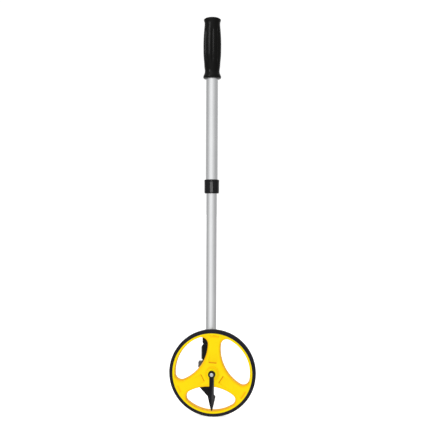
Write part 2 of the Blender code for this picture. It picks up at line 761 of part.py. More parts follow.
def make_counter_frame():
    left = HOUSING_LEFT + WALL + FIT
    right = HOUSING_RIGHT - WALL - FIT
    top = CAVITY_RISE - FIT
    foot = FIT - CAVITY_DROP
    rear_foot = DRUM_Z - PLATE_REAR_DROP
    frame = box("counter_frame", GREY_PLASTIC, (left, PLATE_FRONT, foot), (right, PLATE_BACK, top))
    inside = PLATE_FRONT + FIT
    outside = REAR_PLATE_BACK - FIT
    bridge_foot = top - BRIDGE_THICKNESS
    add(
        frame,
        box("rear_plate", None, (left, REAR_PLATE_FRONT, rear_foot), (right, REAR_PLATE_BACK, top)),
        box("bridge", None, (left + WALL, inside, bridge_foot), (right - WALL, outside, top - FIT)),
    )
    front = PLATE_FRONT - OVERRUN
    back = PLATE_BACK + OVERRUN
    rear = REAR_PLATE_FRONT - OVERRUN
    end = REAR_PLATE_BACK + OVERRUN
    sleeve = COUNTER_SLEEVE_RADIUS + FIT
    thin = PINION_SHAFT_RADIUS + FIT
    cut(
        frame,
        hole("frame_axle_cut", AXLE_RADIUS + FIT, front, back),
        hole("frame_sleeve_cut", sleeve, front, back, DRUM_X, DRUM_Z),
        hole("frame_idler_cut", PIN_RADIUS + FIT, front, back, IDLER_X, IDLER_Z),
        hole("frame_pivot_cut", PIN_RADIUS + FIT, front, back, LEVER_PIVOT_X, LEVER_PIVOT_Z),
        hole("frame_shaft_cut", SHAFT_RADIUS + FIT, rear, end, DRUM_X, DRUM_Z),
        hole("frame_pinion_cut", thin, front, end, PINION_X, DRUM_Z),
    )


def body_outline():
    """The housing's outline from the front: a plain block with a notch under the tube socket."""
    return [
        (HOUSING_RIGHT, -HIP_DROP),
        (HOUSING_RIGHT, HOUSING_RISE),
        (HOUSING_LEFT, HOUSING_RISE),
        (HOUSING_LEFT, NOTCH_RISE + NOTCH_HEIGHT / 2),
        (HOUSING_LEFT + NOTCH_DEPTH, NOTCH_RISE + NOTCH_HEIGHT / 6),
        (HOUSING_LEFT + NOTCH_DEPTH, NOTCH_RISE - NOTCH_HEIGHT / 6),
        (HOUSING_LEFT, NOTCH_RISE - NOTCH_HEIGHT / 2),
        (HOUSING_LEFT, -HIP_DROP),
    ]


def fin_outline():
    """The pointed fin below the front shell: it flares left, then runs back under the pointer."""
    left = HOUSING_LEFT - FIN_FLARE
    tip_left = left + FIN_SLOPE_SHARE * (FIN_DROP - FIN_CORNER_DROP)
    tip_right = tip_left + FIN_TIP_WIDTH
    return [
        (HOUSING_RIGHT - WALL, -HIP_DROP + WALL),
        (HOUSING_LEFT, -HIP_DROP + FIN_RISE),
        (left, -FIN_CORNER_DROP),
        (tip_left, -FIN_DROP),
        (tip_right, -FIN_DROP),
        (tip_right, -FIN_CORNER_DROP),
    ]


def cavity(name, front, back):
    low = (HOUSING_LEFT + WALL, front, -CAVITY_DROP)
    high = (HOUSING_RIGHT - WALL, back, CAVITY_RISE)
    return box(name, None, low, high)


def tube_socket(name):
    profile = rod(LOWER_TUBE_RADIUS + FIT, TUBE_FOOT_RISE - FIT, HOUSING_RISE + OVERRUN)
    return turned_up(name, profile, None, (-TUBE_OFFSET, SPLIT, 0), ROUND_STEPS)


def display_cut(name):
    """The sight opening through the left wall, in front of the drums."""
    half = SIGHT_HALF_HEIGHT + LENS_BORDER
    low = (HOUSING_LEFT - OVERRUN, DRUM_START - LENS_BORDER, DRUM_Z - half)
    high = (HOUSING_LEFT + WALL + OVERRUN, DRUM_END + LENS_BORDER, DRUM_Z + half)
    return box(name, None, low, high)


def lever_cut(name):
    foot = LEVER_PIVOT_Z - LEVER_SLOT_DROP
    top = LEVER_PIVOT_Z + LEVER_SLOT_RISE
    front = PLATE_BACK + LEVER_START - FIT
    low = (HOUSING_LEFT - OVERRUN, front, foot)
    high = (HOUSING_LEFT + WALL + OVERRUN, LEVER_BACK + FIT, top)
    return box(name, None, low, high)


def screw_places():
    half = SCREW_SPACING / 2
    return [
        (-TUBE_OFFSET + side * half, up)
        for up in (SCREW_TOP_RISE, -SCREW_LOW_DROP)
        for side in (-1, 1)
    ]


def make_front_shell():
    shell = plate("front_shell", [body_outline()], BLACK_PLASTIC, HOUSING_FRONT, SPLIT - FIT / 2)
    round_edges(shell, HOUSING_EDGE)
    fin_back = HOUSING_FRONT + FIN_THICKNESS
    add(shell, plate("fin", [fin_outline()], None, HOUSING_FRONT, fin_back))
    cut(
        shell,
        cavity("front_cavity", CAVITY_FRONT, SPLIT + OVERRUN),
        tube_socket("front_socket"),
        display_cut("front_display_cut"),
        lever_cut("front_lever_cut"),
        hole("hub_cut", HUB_SLEEVE_RADIUS + FIT, HOUSING_FRONT - OVERRUN, CAVITY_FRONT + OVERRUN),
        hole(
            "shaft_pocket", SHAFT_RADIUS + FIT, CAVITY_FRONT - POCKET_HOLE, CAVITY_FRONT + OVERRUN,
            DRUM_X, DRUM_Z,
        ),
    )
    thread = SCREW_RADIUS + FIT
    end = HOUSING_BACK - FIT - SCREW_HEAD_HEIGHT - SCREW_LENGTH - FIT
    for number, (across, up) in enumerate(screw_places()):
        name = f"front_screw_cut_{number + 1}"
        cut(shell, hole(name, thread, end, SPLIT + OVERRUN, across, up, TINY_STEPS))
    end = HOUSING_BACK - FIT - SCREW_HEAD_HEIGHT - TUBE_SCREW_LENGTH - FIT
    thread = TUBE_SCREW_RADIUS + FIT
    name = "front_tube_screw_cut"
    cut(shell, hole(name, thread, end, SPLIT, -TUBE_OFFSET, TUBE_SCREW_RISE, TINY_STEPS))


def make_rear_shell():
    shell = plate("rear_shell", [body_outline()], BLACK_PLASTIC, SPLIT + FIT / 2, HOUSING_BACK)
    round_edges(shell, HOUSING_EDGE)
    boss_front = PLATE_BACK + AXLE_COLLAR_WIDTH + 2 * FIT
    cut(
        shell,
        cavity("rear_cavity", SPLIT - OVERRUN, CAVITY_BACK),
        tube_socket("rear_socket"),
        display_cut("rear_display_cut"),
        lever_cut("rear_lever_cut"),
        hole(
            "pivot_pocket", PIN_RADIUS + FIT, CAVITY_BACK - OVERRUN, CAVITY_BACK + POCKET_HOLE,
            LEVER_PIVOT_X, LEVER_PIVOT_Z,
        ),
    )
    boss = rod(AXLE_BOSS_RADIUS, boss_front, HOUSING_BACK - FIT)
    add(shell, turned_back("axle_boss", boss, None, (0, 0, 0), ROUND_STEPS))
    nut_front = HOUSING_BACK - NUT_HEIGHT - 2 * FIT
    nut_space = NUT_WIDTH / math.sqrt(3) + FIT
    cut(
        shell,
        hole("axle_bore_cut", AXLE_RADIUS + FIT, boss_front - OVERRUN, HOUSING_BACK + OVERRUN),
        hole("nut_cut", nut_space, nut_front, HOUSING_BACK + OVERRUN, 0, 0, ROUND_STEPS),
    )
    sink = HOUSING_BACK - SCREW_HEAD_HEIGHT - 2 * FIT
    for number, (across, up) in enumerate(screw_places()):
        cut_screw(shell, f"rear_screw_cut_{number + 1}", SCREW_RADIUS, across, up, sink)
    name = "rear_tube_screw_cut"
    cut_screw(shell, name, TUBE_SCREW_RADIUS, -TUBE_OFFSET, TUBE_SCREW_RISE, sink)


def cut_screw(shell, name, radius, across, up, sink):
    """A screw's clearance hole and the recess for its head, as one turned cutter."""
    shank = radius + FIT
    head = SCREW_HEAD_RADIUS + FIT
    front = SPLIT - OVERRUN
    back = HOUSING_BACK + OVERRUN
    profile = [(0, back), (head, back), (head, sink), (shank, sink), (shank, front), (0, front)]
    cut(shell, turned_back(name, profile, None, (across, 0, up), TINY_STEPS))


def screw(name, radius, length, across, up):
    head_back = HOUSING_BACK - FIT
    head_front = head_back - SCREW_HEAD_HEIGHT
    round_off = SCREW_HEAD_HEIGHT / 2
    profile = [
        (0, head_back),
        (SCREW_HEAD_RADIUS - round_off, head_back),
        (SCREW_HEAD_RADIUS, head_back - round_off),
        (SCREW_HEAD_RADIUS, head_front),
        (radius, head_front),
        (radius, head_front - length),
        (0, head_front - length),
    ]
    turned_back(name, profile, STEEL, (across, 0, up), TINY_STEPS)


def make_screws():
    for number, (across, up) in enumerate(screw_places()):
        screw(f"shell_screw_{number + 1}", SCREW_RADIUS, SCREW_LENGTH, across, up)
    screw("tube_screw", TUBE_SCREW_RADIUS, TUBE_SCREW_LENGTH, -TUBE_OFFSET, TUBE_SCREW_RISE)


def make_display():
    back = HOUSING_LEFT - FIT
    front = back - BEZEL_THICKNESS
    low = (front, HOUSING_FRONT + BEZEL_MARGIN, BEZEL_FOOT)
    high = (back, HOUSING_BACK - BEZEL_MARGIN, BEZEL_TOP)
    bezel = box("display_bezel", GREY_PLASTIC, low, high)
    low = (front - OVERRUN, DRUM_START, DRUM_Z - SIGHT_HALF_HEIGHT)
    high = (back + OVERRUN, DRUM_END, DRUM_Z + SIGHT_HALF_HEIGHT)
    cut(bezel, box("sight_cut", None, low, high))
    half = SIGHT_HALF_HEIGHT + LENS_BORDER - FIT
    low = (HOUSING_LEFT, DRUM_START - LENS_BORDER + FIT, DRUM_Z - half)
    high = (HOUSING_LEFT + LENS_THICKNESS, DRUM_END + LENS_BORDER - FIT, DRUM_Z + half)
    box("display_window", CLEAR_PLASTIC, low, high)


def make_reset_lever():
    """Seen from the front: a hub on its pin, an arm out through the slot, a thumb pad outside
    and a finger up to the drums."""
    half_arm = LEVER_ARM_HEIGHT / 2
    half_pad = LEVER_PAD_HEIGHT / 2
    half_finger = LEVER_FINGER_WIDTH / 2
    pad = -LEVER_REACH + LEVER_PAD_THICKNESS
    arm_start = math.asin(half_arm / LEVER_HUB_RADIUS)
    finger_start = math.acos(half_finger / LEVER_HUB_RADIUS)
    hub = arc((0, 0), LEVER_HUB_RADIUS, -math.pi + arm_start, finger_start, 8)
    outline = hub + [
        (half_finger, LEVER_FINGER_LENGTH),
        (-half_finger, LEVER_FINGER_LENGTH),
        (-half_finger, half_arm),
        (pad, half_arm),
        (pad, half_pad),
        (-LEVER_REACH, half_pad - half_arm),
        (-LEVER_REACH, half_arm - half_pad),
        (pad, -half_pad),
        (pad, -half_arm),
    ]
    front = PLATE_BACK + LEVER_START
    spot = (LEVER_PIVOT_X, LEVER_PIVOT_Z)
    outlines = [outline, circle(PIN_RADIUS + FIT, TINY_STEPS)]
    plate("reset_lever", outlines, BLACK_PLASTIC, front, LEVER_BACK, spot)
    pin = rod(PIN_RADIUS, PLATE_FRONT, CAVITY_BACK + POCKET_HOLE - FIT)
    spot = (LEVER_PIVOT_X, 0, LEVER_PIVOT_Z)
    turned_back("lever_pivot_pin", pin, STEEL, spot, TINY_STEPS)


def make_lever_spring():
    """A small torsion spring behind the lever, wound round the pivot pin."""
    curve = bpy.data.curves.new("lever_spring", "CURVE")
    curve.dimensions = "3D"
    curve.bevel_depth = SPRING_WIRE_RADIUS
    curve.bevel_resolution = 1
    curve.use_fill_caps = True
    start = LEVER_BACK + SPRING_WIRE_RADIUS + FIT
    points = [(SPRING_RADIUS, start, -SPRING_LEG)]
    for step in range(SPRING_TURNS * SPRING_POINTS + 1):
        turn = step / SPRING_POINTS
        angle = 2 * math.pi * turn
        depth = start + SPRING_PITCH * turn
        points.append((SPRING_RADIUS * math.cos(angle), depth, SPRING_RADIUS * math.sin(angle)))
    points.append((SPRING_RADIUS, start + SPRING_PITCH * SPRING_TURNS, SPRING_LEG))
    spline = curve.splines.new("POLY")
    spline.points.add(len(points) - 1)
    for point, place_on_wire in zip(spline.points, points):
        point.co = (*place_on_wire, 1)
    curve.materials.append(SPRING_STEEL)
    spring = bpy.data.objects.new("lever_spring", curve)
    PARTS.objects.link(spring)
    spring.parent = AXLE_FRAME
    spring.location = (LEVER_PIVOT_X, 0, LEVER_PIVOT_Z)


def make_tubes():
    spot = (-TUBE_OFFSET, SPLIT, 0)
    lower_bore = LOWER_TUBE_RADIUS - TUBE_WALL
    lower = ring(LOWER_TUBE_RADIUS, lower_bore, TUBE_FOOT_RISE, LOWER_TUBE_TOP)
    tube = turned_up("lower_tube", lower, ALUMINIUM, spot)
    upper_bore = LOWER_TUBE_RADIUS + FIT
    upper = ring(UPPER_TUBE_RADIUS, upper_bore, UPPER_TUBE_FOOT, UPPER_TUBE_TOP)
    turned_up("upper_tube", upper, ALUMINIUM, spot)
    plug_radius = lower_bore - FIT
    plug_top = TUBE_FOOT_RISE + PLUG_LENGTH
    profile = ring(plug_radius, PLUG_BORE_RADIUS, TUBE_FOOT_RISE, plug_top)
    plug = turned_up("tube_plug", profile, BLACK_PLASTIC, spot, SMALL_STEPS)
    clearance = TUBE_SCREW_RADIUS + FIT
    front = SPLIT - LOWER_TUBE_RADIUS - OVERRUN
    back = SPLIT + LOWER_TUBE_RADIUS + OVERRUN
    up = TUBE_SCREW_RISE
    cut(tube, hole("tube_cross_cut", clearance, front, back, -TUBE_OFFSET, up, TINY_STEPS))
    cut(plug, hole("plug_cross_cut", clearance, front, back, -TUBE_OFFSET, up, TINY_STEPS))
    head_foot = LOWER_TUBE_TOP + FIT
    head_top = head_foot + GUIDE_HEIGHT
    stem_foot = LOWER_TUBE_TOP - GUIDE_STEM_LENGTH
    guide = [
        (upper_bore - FIT, head_top),
        (upper_bore - FIT, head_foot),
        (plug_radius, head_foot),
        (plug_radius, stem_foot),
        (GUIDE_BORE_RADIUS, stem_foot),
        (GUIDE_BORE_RADIUS, head_top),
    ]
    turned_up("guide_ring", guide, WHITE_PLASTIC, spot)


def make_collar():
    spot = (-TUBE_OFFSET, SPLIT, 0)
    top = COLLAR_FOOT + COLLAR_LENGTH
    foot_radius = COLLAR_RADIUS - COLLAR_TAPER
    collet_space = COLLET_RADIUS + FIT
    step = UPPER_TUBE_FOOT
    throat = LOWER_TUBE_RADIUS + FIT
    lip_top = COLLAR_FOOT + COLLAR_LIP
    outer = arc((COLLAR_RADIUS - COLLAR_EDGE, top - COLLAR_EDGE), COLLAR_EDGE, math.pi / 2, 0, 2)
    centre = (foot_radius - COLLAR_EDGE, COLLAR_FOOT + COLLAR_EDGE)
    lower = arc(centre, COLLAR_EDGE, 0, -math.pi / 2, 2)
    profile = outer + lower + [
        (throat, COLLAR_FOOT),
        (throat, lip_top),
        (collet_space, lip_top),
        (collet_space, step),
        (COLLAR_BORE_RADIUS, step),
        (COLLAR_BORE_RADIUS, top),
    ]
    turned_up("lock_collar", profile, BLACK_PLASTIC, spot)
    collet = ring(COLLET_RADIUS, throat, COLLET_FOOT, COLLET_FOOT + COLLET_LENGTH)
    turned_up("collet_ring", collet, WHITE_PLASTIC, spot)


def make_grip():
    spot = (-TUBE_OFFSET, SPLIT, 0)
    bore = UPPER_TUBE_RADIUS + FIT
    foot = GRIP_TOP - GRIP_LENGTH
    outer = [(GRIP_RADIUS * wide, GRIP_TOP - GRIP_LENGTH * down) for down, wide in GRIP_SHAPE_SHARES]
    inner = [(bore, foot), (bore, UPPER_TUBE_TOP + FIT), (0, UPPER_TUBE_TOP + FIT)]
    grip = turned_up("hand_grip", outer + inner, GRIP_RUBBER, spot)
    centre = GRIP_TOP - GRIP_LENGTH / 2
    reach = GRIP_RADIUS + GRIP_FLUTE_RADIUS - GRIP_FLUTE_DEPTH
    for flute in range(GRIP_FLUTES):
        angle = 2 * math.pi * (flute + 0.5) / GRIP_FLUTES
        cut(grip, flute_cutter(f"flute_{flute + 1}", reach, angle, centre))


def flute_cutter(name, reach, angle, centre):
    """A long rounded rod that shaves one shallow flute down the grip."""
    half = GRIP_FLUTE_LENGTH / 2
    profile = rod(GRIP_FLUTE_RADIUS, -half, half)
    across = -TUBE_OFFSET + reach * math.cos(angle)
    depth = SPLIT + reach * math.sin(angle)
    return turned_up(name, profile, None, (across, depth, centre), TINY_STEPS)


def build():
    make_road_wheel()
    make_tyre()
    make_bushes()
    make_hub_gear()
    make_axle()
    make_axle_nut()
    make_pointer()
    make_pointer_fixings()
    make_idler()
    make_counter_gear()
    make_drums()
    make_carry_pinions()
    make_counter_shafts()
    make_counter_frame()
    make_front_shell()
    make_rear_shell()
    make_screws()
    make_display()
    make_reset_lever()
    make_lever_spring()
    make_tubes()
    make_collar()
    make_grip()


build()
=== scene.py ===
"""Looks of a hand-held measuring wheel: a yellow three-spoke wheel with a rubber tyre and a plumb
pointer, a black counter housing behind it, and a telescopic tube with a collar and a grip.

Shapes are worked out in millimetres from the axle: X to the right, Y away from the viewer with the
wheel's middle at zero, Z up. The last step of each piece puts it in the frame's metres.
"""

import math

import bmesh
import bpy
import numpy as np
from mathutils import Matrix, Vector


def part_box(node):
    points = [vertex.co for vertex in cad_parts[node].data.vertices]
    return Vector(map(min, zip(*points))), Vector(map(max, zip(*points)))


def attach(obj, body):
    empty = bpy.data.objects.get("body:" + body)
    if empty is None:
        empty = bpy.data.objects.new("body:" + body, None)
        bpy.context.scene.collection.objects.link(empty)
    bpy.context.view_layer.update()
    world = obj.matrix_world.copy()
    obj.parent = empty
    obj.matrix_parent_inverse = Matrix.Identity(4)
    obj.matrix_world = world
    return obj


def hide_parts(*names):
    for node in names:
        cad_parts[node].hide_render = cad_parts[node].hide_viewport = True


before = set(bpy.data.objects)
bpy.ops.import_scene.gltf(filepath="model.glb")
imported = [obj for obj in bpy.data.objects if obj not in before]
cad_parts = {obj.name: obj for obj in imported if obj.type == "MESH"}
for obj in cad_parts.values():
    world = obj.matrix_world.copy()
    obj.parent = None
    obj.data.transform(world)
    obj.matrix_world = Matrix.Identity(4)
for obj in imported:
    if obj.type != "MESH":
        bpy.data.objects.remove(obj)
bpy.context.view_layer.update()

MM = 0.001
TURN = 2 * math.pi


def middle(node):
    """The middle of a CAD node's box, in metres."""
    low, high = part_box(node)
    return (np.array(low) + np.array(high)) / 2


AXLE = middle("tyre")


def span(node):
    """The foot and top of a CAD node, in millimetres above the axle."""
    low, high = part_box(node)
    return (low[2] - AXLE[2]) / MM, (high[2] - AXLE[2]) / MM


# Points and grids

def rounded(corners, closed=False, steps=5):
    """A line through corners (a, b, radius). An arc that touches both sides takes each corner's
    place; its centre lies on the line that halves the corner."""
    spots = np.array([corner[:2] for corner in corners], float)
    points = []
    for number, (a, b, radius) in enumerate(corners):
        spot = spots[number]
        if radius == 0 or (not closed and number in (0, len(corners) - 1)):
            points.append(spot[None])
            continue
        before = spots[number - 1] - spot
        after = spots[(number + 1) % len(spots)] - spot
        before /= np.hypot(*before)
        after /= np.hypot(*after)
        half = math.acos(np.clip(before @ after, -1, 1)) / 2
        middle_way = (before + after) / np.hypot(*(before + after))
        centre = spot + middle_way * radius / math.sin(half)
        start = spot + before * radius / math.tan(half) - centre
        end = spot + after * radius / math.tan(half) - centre
        first = math.atan2(start[1], start[0])
        sweep = (math.atan2(end[1], end[0]) - first + math.pi) % TURN - math.pi
        angles = first + np.linspace(0, sweep, steps)
        points.append(centre + radius * np.stack([np.cos(angles), np.sin(angles)], 1))
    line = np.concatenate(points)
    return np.concatenate([line, line[:1]]) if closed else line


def smooth_line(knots, count):
    """A cubic curve through knots (a, b) whose slope at each is that between its neighbours."""
    knots = np.array(knots, float)
    slopes = np.gradient(knots[:, 1], knots[:, 0])
    at = np.linspace(knots[0, 0], knots[-1, 0], count)
    part = np.clip(np.searchsorted(knots[:, 0], at, side="right") - 1, 0, len(knots) - 2)
    width = knots[part + 1, 0] - knots[part, 0]
    t = (at - knots[part, 0]) / width
    low, high = knots[part, 1], knots[part + 1, 1]
    value = (
        (1 + 2 * t) * (1 - t) ** 2 * low + t * (1 - t) ** 2 * width * slopes[part]
        + t**2 * (3 - 2 * t) * high + t**2 * (t - 1) * width * slopes[part + 1]
    )
    return np.stack([at, value], 1)


def full_turn(steps):
    """Equal angles once round, the last on top of the first."""
    return np.linspace(0, TURN, steps + 1)


def turned(profile, angles, upright=False, centre=(0, 0)):
    """Carries a profile of (radius, along) round an axis: radius times cosine and sine lie across
    it. The axis runs along Y, or along Z when upright."""
    radius, along = np.asarray(profile, float).T
    first = radius[:, None] * np.cos(angles) + centre[0]
    second = radius[:, None] * np.sin(angles) + centre[1]
    along = np.broadcast_to(along[:, None], first.shape)
    return np.stack([first, second, along] if upright else [first, along, second], -1)


def clockwise(grid_u, grid_v, depth, turn):
    """Puts (u, v) with v pointing away from the axle at a turn clockwise from up, at a depth."""
    x = grid_v * math.sin(turn) + grid_u * math.cos(turn)
    z = grid_v * math.cos(turn) - grid_u * math.sin(turn)
    return np.stack([x, np.broadcast_to(depth, x.shape), z], -1)


def inset(loop, distance):
    """A closed loop moved in by a distance along the normal at each point, which is the sum of the
    normals of the two sides that meet there."""
    open_loop = loop[:-1]
    ahead = np.roll(open_loop, -1, 0) - open_loop
    behind = open_loop - np.roll(open_loop, 1, 0)
    ahead /= np.maximum(np.hypot(*ahead.T), 1e-9)[:, None]
    behind /= np.maximum(np.hypot(*behind.T), 1e-9)[:, None]
    along = ahead + behind
    along /= np.hypot(*along.T)[:, None]
    area = np.sum(open_loop[:, 0] * np.roll(open_loop[:, 1], -1)
                  - np.roll(open_loop[:, 0], -1) * open_loop[:, 1])
    inward = np.stack([-along[:, 1], along[:, 0]], 1) * np.sign(area)
    stretch = np.sqrt(2 / np.maximum(1 + np.sum(ahead * behind, 1), 0.5))
    moved = open_loop + inward * distance * stretch[:, None]
    return np.concatenate([moved, moved[:1]])


def slab(loop, low, high, edge, axes="xz", rounds=4):
    """A plate whose outline is a closed loop: rows go from the middle of one face out to its edge,
    over a quarter round, along the side, over a second quarter round and back to the middle."""
    angles = np.linspace(0, math.pi / 2, rounds)
    insets = edge * (1 - np.sin(angles))
    depths = edge * (1 - np.cos(angles))
    rows = [(inset(loop, gap), low + depth) for gap, depth in zip(insets, depths)]
    rows += [(inset(loop, gap), high - depth) for gap, depth in zip(insets[::-1], depths[::-1])]
    centre = np.broadcast_to(loop[:-1].mean(0), loop.shape)
    rows = [(centre, low)] + rows + [(centre, high)]
    grid = [np.column_stack([flat, np.full(len(flat), depth)]) for flat, depth in rows]
    order = {"xz": [0, 2, 1], "yz": [2, 0, 1]}[axes]
    return np.stack(grid)[..., order]


def join_grids(grids):
    """Numbers the points of all grids in one run, and lists the quads between their neighbours."""
    points, quads, start = [], [], 0
    for grid in grids:
        rows, columns = grid.shape[:2]
        number = np.arange(rows * columns).reshape(rows, columns) + start
        corners = [number[:-1, :-1], number[:-1, 1:], number[1:, 1:], number[1:, :-1]]
        quads.append(np.stack(corners, -1).reshape(-1, 4))
        points.append(grid.reshape(-1, 3))
        start += rows * columns
    return np.concatenate(points), quads


def make_piece(name, parts, body, replaced=(), sharp=32, shade_marks=()):
    """One closed mesh from (finish, grids) pairs: seams are welded, faces turned outward, and
    edges sharper than an angle kept crisp. Shade marks give each point painted shade, for a finish
    that reads them."""
    grids = [grid for _, some in parts for grid in some]
    points, quads = join_grids(grids)
    mesh = bpy.data.meshes.new(name)
    mesh.from_pydata(points * MM + AXLE, [], np.concatenate(quads))
    finishes = np.repeat(
        [number for number, (_, some) in enumerate(parts) for _ in some],
        [len(some) for some in quads],
    )
    for finish, _ in parts:
        mesh.materials.append(finish)
    mesh.polygons.foreach_set("material_index", finishes.astype(np.int32))
    # Painted shade per point, stored for the yellow finish to darken its colour.
    if shade_marks:
        marks = mesh.attributes.new("painted_shade", "FLOAT", "POINT")
        marks.data.foreach_set("value", np.concatenate([shade_mark.ravel() for shade_mark in shade_marks]))
    work = bmesh.new()
    work.from_mesh(mesh)
    bmesh.ops.remove_doubles(work, verts=work.verts, dist=0.000004)
    bmesh.ops.recalc_face_normals(work, faces=work.faces)
    work.to_mesh(mesh)
    work.free()
    return finish_piece(name, mesh, body, replaced, sharp)


def finish_piece(name, mesh, body, replaced=(), sharp=32):
    """Links a mesh as a piece that rides on a body, smooth but for its sharp edges."""
    mesh.shade_smooth()
    mesh.set_sharp_from_angle(angle=math.radians(sharp))
    made = bpy.data.objects.new(name, mesh)
    bpy.context.scene.collection.objects.link(made)
    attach(made, body)
    if replaced:
        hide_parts(*replaced)
    return made


# Finishes

def linear(shade):
    """An sRGB hex value as linear red, green, blue and a full alpha."""
    parts = np.array([int(shade[i:i + 2], 16) for i in (1, 3, 5)]) / 255
    spread = np.where(parts <= 0.04045, parts / 12.92, ((parts + 0.055) / 1.055) ** 2.4)
    return (*(float(value) for value in spread), 1.0)


def add(tree, kind, settings=(), **inputs):
    """Adds a node, sets its properties, and gives each named input a value or a link."""
    node = tree.nodes.new(kind)
    for key, value in dict(settings).items():
        setattr(node, key, value)
    for key, value in inputs.items():
        socket = node.inputs[int(key[1:])] if key[0] == "n" and key[1:].isdigit() else (
            node.inputs[key.replace("_", " ")])
        if isinstance(value, bpy.types.NodeSocket):
            tree.links.new(value, socket)
        else:
            socket.default_value = value
    return node


def new_finish(name):
    """An empty material and its node tree."""
    made = bpy.data.materials.new(name)
    made.use_nodes = True
    made.node_tree.nodes.clear()
    return made, made.node_tree


def close_finish(tree, shader):
    add(tree, "ShaderNodeOutputMaterial", Surface=shader.outputs["BSDF"])


def moulded(name, shades, roughness, grain, depth, mottle=35.0, **sockets):
    """An injection-moulded plastic or rubber: a slow mottle between two shades, a gloss that
    wanders with it, and the fine grain that the mould's spark-eroded steel leaves. Grain, mottle
    and depth are in millimetres."""
    made, tree = new_finish(name)
    place = add(tree, "ShaderNodeTexCoord").outputs["Object"]
    slow = add(tree, "ShaderNodeTexNoise", Vector=place, Scale=1 / (mottle * MM), Detail=4.0)
    fine = add(tree, "ShaderNodeTexNoise", Vector=place, Scale=1 / (grain * MM), Detail=2.0)
    share = add(tree, "ShaderNodeMapRange", Value=slow.outputs["Fac"], n1=0.3, n2=0.7)
    colour = add(tree, "ShaderNodeMix", {"data_type": "RGBA"}, n0=share.outputs["Result"],
                 n6=linear(shades[0]), n7=linear(shades[1]))
    gloss = add(tree, "ShaderNodeMapRange", Value=slow.outputs["Fac"], n1=0.3, n2=0.7,
                n3=roughness - 0.05, n4=roughness + 0.05)
    bump = add(tree, "ShaderNodeBump", Height=fine.outputs["Fac"], Distance=depth * MM, Strength=1.0)
    shader = add(tree, "ShaderNodeBsdfPrincipled", Base_Color=colour.outputs[2],
                 Roughness=gloss.outputs["Result"], Normal=bump.outputs["Normal"], **sockets)
    close_finish(tree, shader)
    return made


def metal(name, shades, roughness, grain, depth, stretch=(1.0, 1.0, 1.0)):
    """A metal surface: its tone wanders slowly, and its gloss and fine bumps follow the lay of its
    grain, which is stretched along the way that it was drawn or machined."""
    made, tree = new_finish(name)
    place = add(tree, "ShaderNodeTexCoord").outputs["Object"]
    drawn = add(tree, "ShaderNodeMapping", Vector=place, Scale=stretch)
    lay = add(tree, "ShaderNodeTexNoise", Vector=drawn.outputs["Vector"], Scale=1 / (grain * MM),
              Detail=3.0)
    slow = add(tree, "ShaderNodeTexNoise", Vector=place, Scale=1 / (60.0 * MM), Detail=2.0)
    share = add(tree, "ShaderNodeMapRange", Value=slow.outputs["Fac"], n1=0.3, n2=0.7)
    colour = add(tree, "ShaderNodeMix", {"data_type": "RGBA"}, n0=share.outputs["Result"],
                 n6=linear(shades[0]), n7=linear(shades[1]))
    gloss = add(tree, "ShaderNodeMapRange", Value=lay.outputs["Fac"], n1=0.3, n2=0.7,
                n3=roughness - 0.04, n4=roughness + 0.04)
    bump = add(tree, "ShaderNodeBump", Height=lay.outputs["Fac"], Distance=depth * MM, Strength=1.0)
    shader = add(tree, "ShaderNodeBsdfPrincipled", Base_Color=colour.outputs[2], Metallic=1.0,
                 Roughness=gloss.outputs["Result"], Normal=bump.outputs["Normal"])
    close_finish(tree, shader)
    return made


def yellow_abs():
    """Yellow ABS, moulded with a satin gloss: an even warm yellow on the faces, and painted shade, a
    deeper orange-yellow that stands in for the shade and warm bounce light on walls and in recesses.
    A mark of one is a window's wall, and one of two the end of a pocket, in deeper painted shadow."""
    made, tree = new_finish("yellow_abs_moulded")
    place = add(tree, "ShaderNodeTexCoord").outputs["Object"]
    slow = add(tree, "ShaderNodeTexNoise", Vector=place, Scale=1 / (35.0 * MM), Detail=4.0)
    fine = add(tree, "ShaderNodeTexNoise", Vector=place, Scale=1 / (0.6 * MM), Detail=2.0)
    share = add(tree, "ShaderNodeMapRange", Value=slow.outputs["Fac"], n1=0.3, n2=0.7)
    face = add(tree, "ShaderNodeMix", {"data_type": "RGBA"}, n0=share.outputs["Result"],
               n6=linear("#F8DA00"), n7=linear("#FCDF02"))
    # Painted shade: the mark mixes the face's yellow toward a shaded orange, and past one toward a
    # deeper shadow orange.
    painted_shade = add(tree, "ShaderNodeAttribute", {"attribute_name": "painted_shade"}).outputs["Fac"]
    depth = add(tree, "ShaderNodeMapRange", Value=painted_shade, n1=1.0, n2=2.0)
    wall = add(tree, "ShaderNodeMix", {"data_type": "RGBA"}, n0=depth.outputs["Result"],
               n6=linear("#FFC000"), n7=linear("#E29200"))
    colour = add(tree, "ShaderNodeMix", {"data_type": "RGBA"}, n0=painted_shade, n6=face.outputs[2],
                 n7=wall.outputs[2])
    gloss = add(tree, "ShaderNodeMapRange", Value=slow.outputs["Fac"], n1=0.3, n2=0.7, n3=0.38,
                n4=0.46)
    bump = add(tree, "ShaderNodeBump", Height=fine.outputs["Fac"], Distance=0.006 * MM, Strength=1.0)
    shader = add(tree, "ShaderNodeBsdfPrincipled", Base_Color=colour.outputs[2], IOR=1.53,
                 Roughness=gloss.outputs["Result"], Specular_IOR_Level=0.08,
                 Normal=bump.outputs["Normal"])
    close_finish(tree, shader)
    return made


